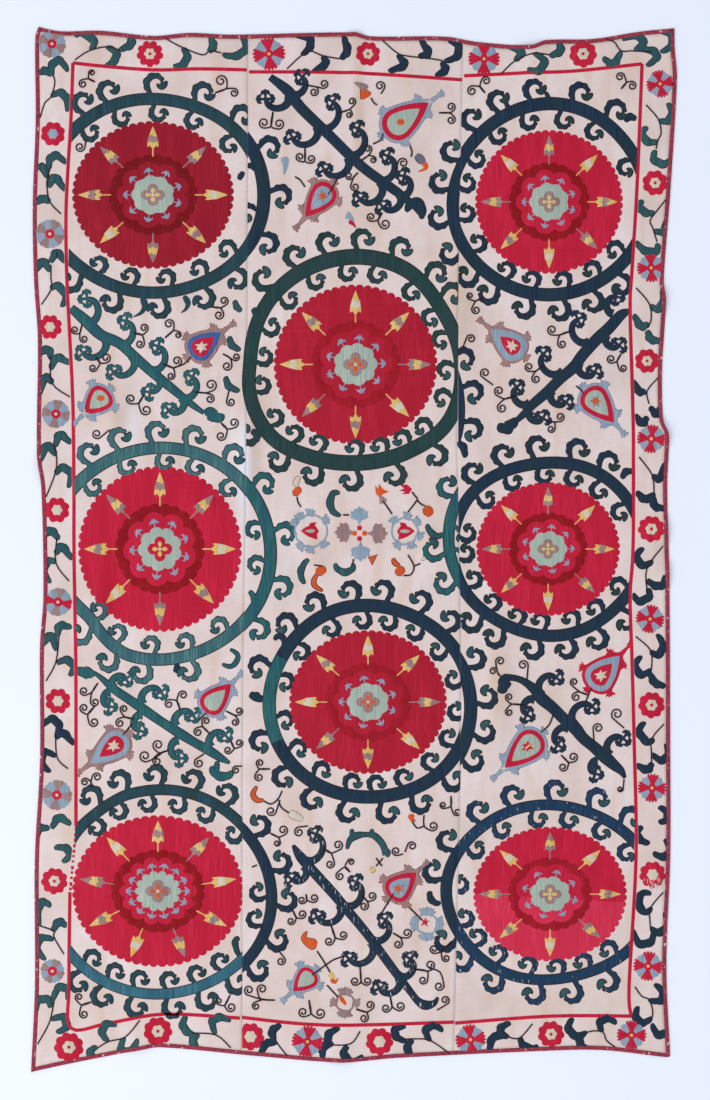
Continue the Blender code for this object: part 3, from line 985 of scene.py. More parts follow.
def ringLoop(spec, dx, dy, outside, extra=0.0, start=0.0, end=360.0, count=150):
    # a run of places along a ring's outer or inner line
    middleX, middleY, outerX, outerY, innerX, innerY = spec["ring"]
    radiusX, radiusY = (outerX, outerY) if outside else (innerX, innerY)
    wobble = random.Random(int(middleX))
    waves = [(k, wobble.uniform(-0.9, 0.9), wobble.uniform(0, 6.28)) for k in (3, 4, 5)]
    points = []
    for index in range(count):
        angle = math.radians(start + (end - start) * index / (count if end - start == 360 else count - 1))
        sway = extra + bendAt(spec, angle)
        sway += sum(size * math.sin(k * angle + phase) for k, size, phase in waves)
        points.append((middleX + dx + (radiusX + sway) * math.sin(angle),
                       middleY + dy - (radiusY + sway) * math.cos(angle)))
    return points


def stitchRing(spec):
    halo = stitching["halo"]
    middleX, middleY, outerX, outerY, innerX, innerY = spec["ring"]
    for panel, body, head, dx, dy in spec["grounds"]:
        patch("dark", panel, ringLoop(spec, dx, dy, True, halo), 0, ringLoop(spec, dx, dy, False, -halo))
        patch(body, panel, ringLoop(spec, dx, dy, True), 1.1, ringLoop(spec, dx, dy, False))
        for roots, radiusX, radiusY, size, turn, facing in (
                (spec["outer"], outerX, outerY, 0.95, spec["turn"], 0),
                (spec["inner"], innerX, innerY, 0.78, -spec["turn"], 180)):
            for rootX, rootY, *more in roots:
                if panelAt(rootX + dx, rootY + dy) != panel:
                    continue
                tilt, scale = more or (0, 1.0)
                angle = math.atan2((rootX - middleX) / radiusX, (middleY - rootY) / radiusY)
                lean = math.degrees(math.atan2(math.sin(angle) / radiusX, math.cos(angle) / radiusY))
                x = middleX + dx + (radiusX + bendAt(spec, angle)) * math.sin(angle)
                y = middleY + dy - (radiusY + bendAt(spec, angle)) * math.cos(angle)
                stitchHook(panel, x, y, lean + facing + tilt, size * scale, turn, body, head)
    for part in spec.get("relaid", ()):
        panel, thread, start, end = part
        outer = ringLoop(spec, 0, 0, True, 0.1, start, end, 30)
        inner = ringLoop(spec, 0, 0, False, -0.1, start, end, 30)
        patch(thread, panel, outer + inner[::-1], 1.9)


def stitchMedallions():
    for number, spec in enumerate(medallions):
        stitchRing(spec)
        stitchDisc(spec, number)


def turning(points):
    # positive where a run of points turns clockwise in the photograph
    total = 0.0
    for before, here, after in zip(points, points[1:], points[2:]):
        total += ((here[0] - before[0]) * (after[1] - here[1])
                  - (here[1] - before[1]) * (after[0] - here[0]))
    return total


def stitchLeaf(panel, points, body, half=2.9, lobes=4, area="border", halo="dark"):
    # a crescent leaf, thickest in its middle and scalloped along its outer side
    if turning(points) < 0:
        points = points[::-1]
    line = through(points, 4)
    spine = [(x, y, 0.6 + half * math.sin(math.pi * index / (len(line) - 1)) ** 0.85)
             for index, (x, y) in enumerate(line)]
    scallop = 0.34 * half if lobes else 0.0
    if halo:
        patch(halo, panel, ribbon(spine, 2, lobes, scallop, 0.8), 0, None, area)
    patch(body, panel, ribbon(spine, 2, lobes, scallop), 1, None, area)


def stitchStem(panel, points):
    strand("dark", panel, through(points, 4), 0.75, "border")


# Border rosettes: kind, middle and radius, in pixels
rosettes = (
    ("striped", 52, 44, 14), ("redBlue", 53, 134, 12.5), ("striped", 50, 234, 14.5), ("red", 50, 327, 12.5),
    ("striped", 56, 414, 14), ("red", 57, 510, 13), ("mixed", 58, 602, 14), ("red", 58, 701, 13),
    ("striped", 57, 795, 15), ("redDot", 54.5, 881, 13.5), ("striped", 52.5, 971, 12),
    ("redDot", 69, 1047, 15), ("redDot", 150, 54, 13.5), ("pinwheel", 269, 54, 16.5),
    ("redDot", 368, 54, 12.5), ("pinwheel", 484, 59, 16), ("redDot", 583, 54, 14), ("pinwheel", 660, 84, 14),
    ("redDot", 655, 183, 13), ("pinwheel", 651, 268, 14.5), ("redDot", 647, 361, 12.5),
    ("pinwheel", 651, 439, 14.5), ("redDot", 651, 529, 13.5), ("pinwheel", 650, 619, 14.5),
    ("redDot", 651.5, 705, 13.5), ("pinwheel", 652, 788, 14.5), ("worn", 652.5, 874.5, 13.5),
    ("pinwheel", 648, 966, 15), ("redDot", 158, 1031, 14.5), ("red", 250.5, 1036.5, 14),
    ("pinwheel", 307.5, 1041.5, 16), ("red", 379.5, 1041.5, 14), ("pinwheel", 470.5, 1039.5, 15.5),
    ("redDot", 551, 1034, 13.5), ("pinwheel", 631.5, 1035, 15),
)


def fan(x, y, angle, reach, spread, lobes, depth=1.6):
    # a wedge with a scalloped outer end
    rim = []
    steps = lobes * 4
    for index in range(steps + 1):
        share = index / steps
        turn = math.radians(angle + spread * (2 * share - 1))
        away = reach - depth * (1 - abs(math.sin(math.pi * lobes * share)) ** 0.6)
        rim.append((x + away * math.sin(turn), y - away * math.cos(turn)))
    return [(x, y)] + rim


def stitchRosette(kind, x, y, radius):
    panel = panelAt(x, y)
    tilt = (x * 7 + y * 3) % 24 - 12

    def spot(thread, size, lobes, depth, level):
        outline = lobed(x, y, size, size, lobes, depth, 6, math.radians(tilt) * 2, 0.7)
        patch(thread, panel, outline, level, None, "border")

    if kind in ("striped", "mixed"):
        spot("paleBlue", radius, 16, 1.2, 1)
        for index in range(4):
            thread = "red" if kind == "mixed" and index % 2 else "brown"
            patch(thread, panel, fan(x, y, tilt + 90 * index + 20, radius + 0.2, 23, 2, 1.0), 1.8,
                  None, "border")
        spot("red", 5.2, 8, 1.2, 2.6)
        spot("pale", 1.9, 6, 0.4, 3.4)
    elif kind == "pinwheel":
        spot("paleBlue", radius * 0.93, 12, 1.6, 1)
        for index in range(4):
            patch("red", panel, fan(x, y, tilt + 90 * index, radius, 27, 4, 2.2), 1.8, None, "border")
        spot("red", 4.6, 6, 0.6, 2.2)
        spot("yellow", 1.9, 6, 0.4, 3.0)
    else:
        petals = 9 if radius > 13 else 8
        spot("red", radius, petals, 2.6, 1)
        spot("paleBlue" if kind == "redBlue" else "pale", radius * 0.45, 6, 1.4, 2)
        if kind == "redDot":
            spot("red", radius * 0.14, 6, 0.3, 3)
        if kind == "worn":
            wearAway(panel, (x - 10, y - 2, x + 13, y + 15), 40, 5, "border")


# Border sprays: body thread, stem, then its leaves
sprays = (
    ("leaf", ((75, 60), (89, 51), (106, 47), (119, 50)),
     ((90, 50), (94, 42), (82, 33), (75, 37)), ((119, 50), (131, 44), (129, 35)),
     ((106, 47), (116, 53), (113, 62), (105, 66))),
    ("leaf", ((165, 38), (179, 46), (202, 55), (210, 51), (221, 53)),
     ((182, 48), (187, 56), (182, 65), (173, 66)), ((208, 52), (213, 46), (210, 37)),
     ((222, 54), (235, 56), (246, 48), (241, 36))),
    ("navy", ((287, 69), (301, 56), (310, 51), (323, 56), (340, 59)),
     ((301, 55), (309, 48), (309, 39), (295, 36)), ((322, 56), (325, 64), (312, 72)),
     ((340, 59), (347, 51), (343, 36))),
    ("navy", ((383, 41), (397, 53), (406, 56), (432, 59), (443, 61)),
     ((397, 55), (404, 65), (388, 71)), ((418, 56), (428, 53), (420, 40)),
     ((444, 61), (456, 57), (458, 46), (448, 41)), ((441, 62), (445, 70), (435, 76))),
    ("leaf", ((501, 74), (515, 61), (533, 54), (550, 55)),
     ((514, 61), (521, 52), (505, 45)), ((533, 54), (544, 61), (538, 71), (527, 69)),
     ((549, 56), (560, 51), (558, 41))),
    ("leaf", ((605, 39), (614, 42), (621, 51), (632, 51), (651, 52)),
     ((621, 51), (613, 64), (603, 57)), ((634, 50), (643, 43), (636, 36), (622, 40)),
     ((636, 49), (652, 51), (656, 58), (646, 66)), ((660, 52), (671, 46), (671, 35), (660, 32))),
    ("leaf", ((40, 118), (45, 103), (51, 97), (55, 83), (53, 75)),
     ((53, 76), (52, 66), (60, 61), (68, 72)), ((52, 76), (46, 71), (39, 74)),
     ((51, 97), (60, 93), (67, 100), (67, 112))),
    ("leaf", ((61, 214), (50, 202), (47, 186), (48, 176), (51, 166)),
     ((50, 169), (50, 160), (57, 156), (66, 164)), ((47, 178), (43, 168), (37, 168)),
     ((49, 188), (55, 178), (65, 191)), ((50, 203), (43, 199), (36, 204))),
    ("leaf", ((39, 308), (51, 290), (51, 278), (51, 265)),
     ((51, 263), (57, 253), (65, 263)), ((50, 272), (43, 262), (36, 272)),
     ((51, 290), (57, 286), (66, 296), (61, 307))),
    ("leaf", ((70, 397), (52, 383), (51, 356)),
     ((51, 360), (48, 350), (36, 355)), ((51, 370), (57, 358), (70, 364)),
     ((53, 384), (45, 378), (39, 397))),
    ("leaf", ((46, 497), (55, 475), (57, 461), (55, 446)),
     ((56, 447), (60, 435), (71, 444)), ((56, 456), (47, 446), (41, 462)),
     ((56, 475), (62, 468), (71, 474), (68, 488))),
    ("leaf", ((69, 581), (56, 563), (57, 538)),
     ((59, 540), (51, 531), (43, 537)), ((56, 555), (62, 547), (72, 560)),
     ((56, 563), (49, 561), (44, 571), (51, 583))),
    ("leaf", ((46, 681), (56, 662), (59, 636)),
     ((58, 637), (60, 626), (72, 628)), ((56, 651), (51, 636), (41, 647)),
     ((57, 664), (66, 660), (74, 667), (69, 676))),
    ("navy", ((55.7, 734.6), (57.3, 757.8), (68, 768.6)),
     ((43, 726), (51.5, 719), (59, 726), (55.7, 736)), ((55.7, 739), (63, 733), (74, 745)),
     ((56, 757), (45, 752), (42, 763), (51, 772))),
    ("leaf", (), ((52, 829), (59, 818), (71, 825)), ((37, 840), (38.5, 829), (50, 828.5)),
     ((54, 848), (65, 848), (70, 855), (62, 862))),
    ("leaf", ((64, 954), (54, 937), (54, 931), (40, 925.7)),
     ((51, 907), (43.5, 902), (38, 911), (40, 926)), ((67, 927), (59, 922), (53, 932)),
     ((54, 940), (42, 938), (37, 948), (46, 960))),
    ("leaf", ((37.6, 1044), (49.6, 1022), (54.2, 1000)),
     ((67, 1000), (68, 990), (58.5, 988), (53, 1001)), ((36.5, 1013), (38, 1001), (48, 1000), (50, 1008)),
     ((56, 1032), (66, 1027), (63, 1017), (51, 1020))),
    ("leaf", ((140, 1020), (125.4, 1036.7), (108.8, 1041.3), (97.7, 1047.8)),
     ((117, 1025.5), (107, 1024), (102.5, 1033), (108.8, 1041)),
     ((125, 1037), (121, 1049), (131, 1050), (138, 1038)),
     ((98, 1047), (91, 1051), (94, 1059.5), (106, 1056))),
    ("leaf", ((192, 1033), (216, 1034.8), (230.8, 1047.8)),
     ((187, 1016), (183, 1024), (188, 1032), (196, 1035)), ((199.4, 1034), (193, 1040), (198, 1048)),
     ((216, 1034), (212.5, 1022), (220.6, 1017.5), (231, 1021))),
    ("navy", ((287.4, 1055.9), (275.9, 1040.6), (275, 1029)),
     ((281.5, 1025), (272.5, 1031), (275, 1041)), ((277, 1043), (266, 1044), (261, 1055))),
    ("navy", ((327.6, 1044.4), (350.5, 1043.4), (360, 1031)),
     ((340, 1028), (330, 1033), (328.5, 1041), (333.5, 1045)), ((332, 1044), (323, 1048), (323.5, 1058)),
     ((348.6, 1046), (344, 1052), (352, 1062), (363, 1055))),
    ("navy", ((398.3, 1039.6), (415.5, 1038.7), (430.8, 1040.6), (450, 1054)),
     ((406, 1026.5), (396, 1029), (397, 1037), (407, 1041)),
     ((413.6, 1040), (408, 1046), (411, 1056), (423, 1055)),
     ((430.8, 1041), (426, 1031), (433.7, 1025.5), (443, 1031.5))),
    ("navy", ((506.5, 1035.7), (514, 1038.4), (521.3, 1036.6), (532.4, 1023.7)),
     ((489.5, 1053), (493, 1038), (507, 1036)), ((511, 1023), (502, 1027), (501.5, 1033), (509, 1037)),
     ((521, 1037), (522.5, 1044), (532, 1048.5), (538, 1045))),
    ("navy", ((580.5, 1034.8), (591.6, 1031), (602.7, 1032), (606.4, 1040.3), (614.7, 1046.8)),
     ((573.5, 1018), (568.5, 1027), (576, 1035.5), (587, 1031.5)),
     ((586, 1033), (580, 1038), (582, 1046), (590, 1048)),
     ((602.7, 1032), (600, 1023), (608, 1018.5), (616.5, 1024))),
    ("leaf", ((646, 105), (658, 119), (661, 133), (658, 140), (656, 149)),
     ((659, 120), (667, 121), (672, 113), (667, 103)), ((658, 141), (649, 142), (642, 134), (648, 127)),
     ((656, 150), (654, 159), (664, 164), (672, 158))),
    ("leaf", ((668, 197), (656, 212), (650, 221), (653, 229), (657, 242)),
     ((655, 212), (647, 213), (640, 207), (643, 200)), ((654, 230), (662, 232), (666, 226), (667, 216)),
     ((657, 243), (656, 251), (644, 250), (636, 241))),
    ("leaf", ((636, 288), (649, 304), (651, 320), (647, 328)),
     ((650, 305), (657, 309), (663, 301), (661, 290)), ((649, 323), (641, 326), (634, 314)),
     ((648, 330), (651, 339), (662, 341))),
    ("navy", ((658, 378), (647, 391), (649, 404)),
     ((646, 391), (639, 391), (633, 380)), ((650, 406), (657, 414), (662, 403)),
     ((647, 416), (642, 423), (635, 414))),
    ("navy", ((639, 457), (652, 475), (654, 493)),
     ((652, 475), (660, 478), (664, 463)), ((636.5, 491), (645, 499), (655, 493)),
     ((654, 496), (655, 506), (666, 508.5))),
    ("navy", ((663, 546), (646.5, 569), (647.3, 592)),
     ((644, 548), (636.5, 556), (643, 565), (653, 560.5)),
     ((664, 575), (662.5, 584.5), (654, 585), (647, 579)),
     ((633, 593), (639, 601), (649, 596), (647, 588))),
    ("navy", ((635.7, 636.5), (650.6, 650.6), (651.4, 668.8)),
     ((656.5, 634), (663, 645.6), (657.5, 654.5), (650, 650.6)),
     ((642, 656), (635, 665.5), (642, 674.5), (651.4, 668.8)), ((649.8, 672), (655, 682.5), (666, 686))),
    ("navy", ((667, 721), (652, 738), (651.4, 752.8), (651.4, 762.7)),
     ((645.5, 722), (639, 731), (647.5, 741.5), (654, 738)),
     ((652, 753), (660.6, 760), (668, 754), (665, 743.5)),
     ((652, 762), (647, 769.5), (636, 764))),
    ("navy", (), ((658, 807), (666.5, 812), (666, 820), (658, 821.5)),
     ((643, 826.5), (637, 832.5), (641, 840), (650, 843)),
     ((653, 852), (662, 856.5), (670.5, 850.6), (664, 839))),
    ("navy", ((666.4, 888.7), (650.7, 907.2), (649.8, 920), (650.7, 929.4)),
     ((651.5, 894), (642, 893.5), (639, 903.5), (645, 912), (652, 907)),
     ((664, 912), (667, 925.7), (658, 932), (650.6, 927)),
     ((633, 929), (639, 943), (651, 941), (653, 930))),
    ("navy", ((635, 986.7), (641.5, 996), (648.9, 999.6), (652.6, 1010.7), (651.6, 1020)),
     ((654, 984), (662.5, 992), (660, 1000.5), (648, 999.6)),
     ((638.5, 1006), (636, 1016.3), (643, 1022.5), (652, 1017)),
     ((652, 1023), (657.5, 1034), (667, 1031.5), (667, 1024))),
)


def stitchBorder():
    for thread, stem, *leaves in sprays:
        if stem:
            stitchStem(panelAt(*stem[len(stem) // 2]), stem)
        for points in leaves:
            stitchLeaf(panelAt(*points[1]), points, thread)
    for kind, x, y, radius in rosettes:
        stitchRosette(kind, x, y, radius)


# The red line between field and border
stripeRuns = (
    ("left", ((73, 63), (100, 66), (153, 70), (199, 69), (247, 70))),
    ("centre", ((249, 72), (353, 73), (463, 80))),
    ("right", ((464, 76), (526, 73), (576, 71), (642, 64))),
    ("left", ((73, 63), (71, 120), (68, 169), (66, 219), (67, 280), (70, 340), (73, 406), (74, 489),
              (74, 546), (75, 612), (76, 679), (76, 826))),
    ("left", ((70, 892), (69, 985), (71, 1028), (109, 1023), (164, 1014), (240, 1018))),
    ("centre", ((240, 1017), (326, 1025), (454, 1022))),
    ("right", ((455, 1023), (551, 1016), (632, 1016))),
    ("right", ((642, 64), (637, 186), (632, 269), (630, 311), (633, 422), (633, 546), (630, 596), (632, 662),
               (634, 740), (636, 856), (629, 985), (631, 1015))),
)


stripe = {
    "half": 1.75,  # half width, in pixels
    "wornX": 76,
    "wornTop": 828,  # where it is worn to short dashes
    "dashes": 12,
    "dashStep": 5.4,
}


def stitchStripes():
    for panel, points in stripeRuns:
        line = through(points, 5)
        for start in range(0, len(line) - 1, 6):
            part = line[start:start + 7]
            if len(part) > 1:
                patch("red", panel, ribbon([(x, y, stripe["half"]) for x, y in part], 1), 1, None, "whole")
    chance = random.Random(3)
    for step in range(stripe["dashes"]):
        x, y = stripe["wornX"] - step * 0.5, stripe["wornTop"] + step * stripe["dashStep"]
        dash = ribbon([(x, y, 1.5), (x, y + chance.uniform(2, 4), 1.3)], 2)
        patch("red", "left", dash, 1, None, "whole")


def wearAway(panel, box, count, seed, area="field"):
    # short bare streaks where the silk is gone and the cotton shows
    chance = random.Random(seed)
    for _ in range(count):
        x = chance.triangular(box[0], box[2])
        y = chance.triangular(box[1], box[3])
        strand("bare", panel, [(x, y), (x, y + chance.uniform(2, 5))], chance.uniform(0.25, 0.42), area)


# Branching stems: panel, thread, spine with half widths, branches as node, middle, middle, head
antlers = (
    ("centre", "navy",
     ((270, 77, 2.4), (288, 91, 4.4), (301, 108, 4.6), (330, 136, 4.6), (361, 166, 4.6), (397, 192, 4.4),
      (412, 204, 3.4), (418, 208, 5.0), (423, 219, 1.0)),
     (((289, 93), (293, 86), (301, 85), (303, 78)), ((289, 97), (281, 108), (271, 107), (266, 100)),
      ((317, 127), (321, 120), (332, 120), (334, 103)), ((317, 127), (309, 139), (300, 144), (293, 139)),
      ((346, 155), (350, 148), (360, 145), (359, 130)), ((348, 158), (345, 169), (335, 175), (325, 171)),
      ((378, 180), (382, 173), (393, 170), (389, 157)), ((380, 182), (378, 197), (369, 204), (361, 200)),
      ((399, 196), (402, 190), (409, 186), (405, 177)), ((399, 194), (397, 206), (391, 212), (384, 208)))),
    ("left", "emerald",
     ((71, 308, 3.0), (86, 321, 4.6), (101, 335, 4.6), (119, 343, 4.6), (136, 358, 4.6), (153, 373, 4.6),
      (169, 386, 4.6), (190, 403, 3.4), (204, 413, 1.8)),
     (((88, 323), (90, 315), (94, 308), (88, 299)), ((119, 344), (122, 337), (131, 334), (127, 322)),
      ((150, 370), (154, 362), (163, 361), (159, 347)), ((180, 397), (182, 389), (192, 388), (193, 378)),
      ((104, 337), (97, 343), (96, 351), (84, 354)), ((132, 356), (127, 364), (128, 374), (115, 373)),
      ((152, 372), (150, 381), (153, 386), (151, 392)), ((182, 398), (179, 406), (176, 412), (170, 411)))),
    ("right", "navy",
     ((630, 311, 1.4), (621, 315, 4.0), (608, 329, 4.8), (596, 340, 5.0), (581, 357, 5.0), (575, 366, 5.4),
      (560, 379, 5.0), (547, 392, 5.2), (533, 404, 4.8), (525, 413, 3.8), (516, 421, 2.4)),
     (((613, 314), (610, 308), (608, 303), (615, 297)), ((589, 342), (580, 341), (573, 334), (577, 320)),
      ((563, 371), (553, 371), (546, 364), (543, 355)), ((530, 403), (524, 401), (518, 397), (516, 388)),
      ((607, 335), (607, 340), (609, 346), (618, 346)), ((579, 364), (579, 370), (583, 375), (594, 373)),
      ((552, 391), (551, 397), (555, 403), (565, 403)), ((530, 411), (531, 416), (533, 419), (542, 419)))),
    ("left", "emerald",
     ((92, 672, 1.2), (99, 676, 1.5), (114, 689, 3.4), (130, 700, 3.8), (146, 711, 4.4), (162, 722, 4.1),
      (181, 734, 4.8), (194, 742, 4.3), (210, 751, 4.9), (221, 758, 3.9), (230, 763, 1.0)),
     (((113, 687), (114, 680), (116, 678), (125, 678)), ((111, 692), (106, 694), (103, 699), (108, 706)),
      ((143, 704), (144, 695), (145, 689), (160, 691)), ((143, 715), (137, 717), (134, 721), (138, 730)),
      ((176, 726), (177, 716), (180, 710), (192, 714)), ((179, 740), (173, 743), (171, 749), (178, 758)),
      ((211, 747), (211, 740), (214, 733), (224, 734)))),
    ("right", "navy",
     ((505, 677, 2.4), (515, 678, 2.2), (525, 682, 2.8), (535, 690, 4.2), (541, 698, 5.4), (553, 708, 5.0),
      (564, 719, 5.2), (575, 728, 6.0), (583, 738, 5.4), (594, 747, 5.6), (605, 757, 6.6), (614, 765, 5.6),
      (621, 771, 4.0), (625, 778, 1.0)),
     (((542, 695), (542, 686), (544, 679), (555, 677)), ((535, 700), (529, 701), (524, 705), (526, 714)),
      ((575, 725), (575, 714), (578, 708), (591, 706)), ((569, 729), (562, 730), (557, 734), (557, 744)),
      ((610, 755), (611, 747), (613, 742), (622, 738)), ((598, 761), (593, 762), (590, 766), (594, 773)))),
    ("centre", "wornNavy",
     ((293, 845, 0.8), (300, 856, 3.7), (312, 870, 4.1), (333, 893, 4.2), (343, 905, 4.1), (368, 935, 3.9),
      (396, 973, 3.9), (410, 991, 3.1), (417, 1000, 3.4), (425, 1005, 5.0), (434, 1003, 3.0), (438, 997, 0.8)),
     (((304, 860), (314, 857), (322, 848), (317, 835)), ((304, 866), (303, 876), (301, 882), (293, 880)),
      ((343, 905), (352, 901), (361, 894), (357, 883)), ((340, 905), (338, 914), (328, 922), (318, 918)),
      ((371, 939), (380, 938), (389, 931), (386, 921)), ((371, 942), (370, 952), (361, 962), (350, 960)),
      ((398, 975), (407, 974), (414, 969), (411, 960)), ((399, 978), (397, 989), (389, 993), (380, 989)))),
)
antlerHead = ((1.0, -0.8), (1.0, 4.2), (2.2, 5.4), (4.4, 3.8), (4.7, 6.0), (3.6, 8.6), (1.4, 9.0), (0, 10.2),
              (-1.4, 9.0), (-3.6, 8.6), (-4.7, 6.0), (-4.4, 3.8), (-2.2, 5.4), (-1.0, 4.2), (-1.0, -0.8))


def archPoints(start, toward, end):
    # half an ellipse from start to end, bulging towards a third place
    middleX, middleY = (start[0] + end[0]) / 2, (start[1] + end[1]) / 2
    runX, runY = (end[0] - start[0]) / 2, (end[1] - start[1]) / 2
    side = 1 if runX * (toward[1] - middleY) - runY * (toward[0] - middleX) > 0 else -1
    points = []
    for index in range(7):
        angle = math.pi * index / 6
        away = 0.86 * side * math.sin(angle)
        points.append((middleX - runX * math.cos(angle) - runY * away,
                       middleY - runY * math.cos(angle) + runX * away))
    return points


def stitchAntlers():
    for panel, thread, spine, branches in antlers:
        reach = len(spine) - 1
        strips = [[(x, y, half * (1.14 - 0.36 * index / reach)) for index, (x, y, half) in enumerate(spine)]]
        halo = stitching["halo"]
        for node, first, second, end in branches:
            arch = archPoints(node, second, end)
            strips.append([(*point, half) for point, half in zip(arch, (3.9, 3.4, 3.0, 2.8, 2.6, 2.4, 1.8))])
            before = arch[-2]
            lean = math.degrees(math.atan2(end[0] - before[0], before[1] - end[1]))
            way = 1 if turning((node, arch[3], end)) > 0 else -1
            root = (end[0] + 1.0 * math.sin(math.radians(lean)), end[1] - 1.0 * math.cos(math.radians(lean)))
            for offset in (112, 22, -68):
                lobe = placed(antlerHead, *root, lean + way * offset, 0.98)
                patch("dark", panel, grown(lobe, 0.45), 0.2)
                patch(thread, panel, lobe, 1.4)
        for strip in strips:
            patch("dark", panel, ribbon(strip, 4, 0, 0.0, halo), 0)
        for strip in strips:
            patch(thread, panel, ribbon(strip, 4), 1)


# Teardrop leaves: panel, middle, tip, half width, four threads from outside in, share of the band
# and fill, then what is stitched in the middle
teardrops = (
    ("centre", (404, 120), (434, 99), 21, "paleBlue", "red", "mint", 0.86, 0.60, "spot"),
    ("centre", (320, 199), (302, 221), 17, "brown", "red", "paleBlue", 0.86, 0.58, "ember"),
    ("left", (204, 345), (226, 329), 18, "brown", "blue", "red", 0.82, 0.56, "star"),
    ("left", (98, 401), (81, 417), 18, "paleBlue", "red", "mint", 0.84, 0.56, "spot"),
    ("right", (509, 344), (487, 326), 18, "brown", "paleBlue", "red", 0.86, 0.50, "star"),
    ("right", (598, 404), (618, 427), 19, "paleBlue", "red", "mint", 0.84, 0.58, "ember"),
    ("left", (111, 748), (86, 767), 18, "brown", "paleBlue", "red", 0.84, 0.54, "star"),
    ("left", (216, 699), (235, 680), 17, "paleBlue", "red", "mint", 0.84, 0.56, ""),
    ("right", (525, 749), (500, 772), 20, "paleBlue", "red", "mint", 0.84, 0.60, "anchor"),
    ("right", (603, 673), (624, 651), 20, "red", "paleBlue", "red", 0.82, 0.52, "star"),
    ("centre", (401, 886), (420, 869), 18, "brown", "red", "paleBlue", 0.84, 0.56, "ember"),
    ("centre", (305, 980), (290, 994), 15, "paleBlue", "red", "mint", 0.84, 0.56, ""),
)
crown = ((-4.4, -2.4), (-3.2, 0.6), (-5.8, 3.4), (-5.2, 5.0), (-2.4, 3.8), (-1.4, 6.0), (0.2, 4.2), (2.0, 6.2),
         (3.0, 3.4), (5.4, 4.4), (5.0, 2.4), (3.2, 0.6), (4.4, -2.4))
tipCross = ((0, 1.0), (2.8, 3.6), (3.4, 2.4), (1.0, 0), (3.4, -2.6), (2.4, -3.4), (0, -1.0), (-2.6, -3.6),
            (-3.4, -2.4), (-1.0, 0), (-3.4, 2.6), (-2.6, 3.6))
dropStar = ((0, 8), (1.6, 3.4), (5, 4.6), (3.4, 0.6), (5.2, -3.4), (1.4, -2.6), (0, -5.4), (-1.6, -2.6),
            (-5.2, -4), (-3.2, 0.6), (-4.8, 4), (-1.8, 3.4))


def drop(middle, tip, half, size):
    # a rounded leaf outline with its point towards the tip; smaller ones sit back from the point
    reach = math.hypot(tip[0] - middle[0], tip[1] - middle[1])
    lean = math.degrees(math.atan2(tip[0] - middle[0], middle[1] - tip[1]))
    shape = []
    for index in range(28):
        t = 2 * math.pi * index / 28
        along = math.cos(t) * reach * (1.0 if math.cos(t) > 0 else 0.72)
        across = half * 1.16 * math.sin(t) * abs(math.sin(t / 2)) ** 0.9
        shape.append((across * size, along * size - reach * 0.16 * (1 - size)))
    return placed(shape, *middle, lean)


def stitchTeardrops():
    for panel, middle, tip, half, outer, band, fill, bandSize, fillSize, inside in teardrops:
        lean = math.atan2(tip[0] - middle[0], middle[1] - tip[1])
        slant = math.degrees(lean)
        halo = "darkRed" if outer == "brown" else "slate"
        pieces = [(drop(middle, tip, half, 0.98), 1.0)]
        for index in (4, 9, 14, 19, 24):
            x, y = pieces[0][0][index]
            around = math.degrees(math.atan2(x - middle[0], middle[1] - y))
            pieces.append((placed(crown, x, y, around, 0.92), 0.9))
        far = [(tip[0] + away * math.sin(lean), tip[1] - away * math.cos(lean)) for away in (-3, 4, 8)]
        pieces.append((ribbon([(*far[0], 2.6), (*far[1], 1.5), (*far[2], 1.8)], 2), 0.9))
        pieces.append((placed(crown, *far[2], slant + 8, 0.72), 0.9))
        if outer != "red":
            for outline, level in pieces:
                patch(halo, panel, grown(outline, 0.4), 0)
        for outline, level in pieces:
            patch(outer, panel, outline, level)
        patch(band, panel, drop(middle, tip, half, bandSize), 1.8)
        patch(fill, panel, drop(middle, tip, half, fillSize), 2.6)
        base = (middle[0] - 4 * math.sin(lean), middle[1] + 4 * math.cos(lean))
        star = placed(dropStar, *base, slant + 10, 1.05)
        near = (tip[0] - 5.5 * math.sin(lean), tip[1] + 5.5 * math.cos(lean))
        if inside == "spot":
            patch("orange", panel, lobed(*base, 4.4, 3.6, 5, 0.6, 4), 3.4)
            patch("pale", panel, placed(tipCross, *near, slant, 0.9), 2.8)
        elif inside == "ember":
            patch("brown", panel, star, 3.2)
            patch("orange", panel, lobed(*base, 3.6, 3.2, 5, 0.8, 4), 4.0)
        elif inside == "star":
            patch("pale", panel, star, 3.4)
        elif inside == "anchor":
            patch("red", panel, star, 3.2)
            bar = [(base[0] - 3, base[1] + 2.4, 0.8), (base[0] + 3, base[1] - 2.4, 1.1)]
            patch("yellow", panel, ribbon(bar, 2), 4.0)
            patch("pale", panel, placed(tipCross, *near, slant, 0.9), 2.8)


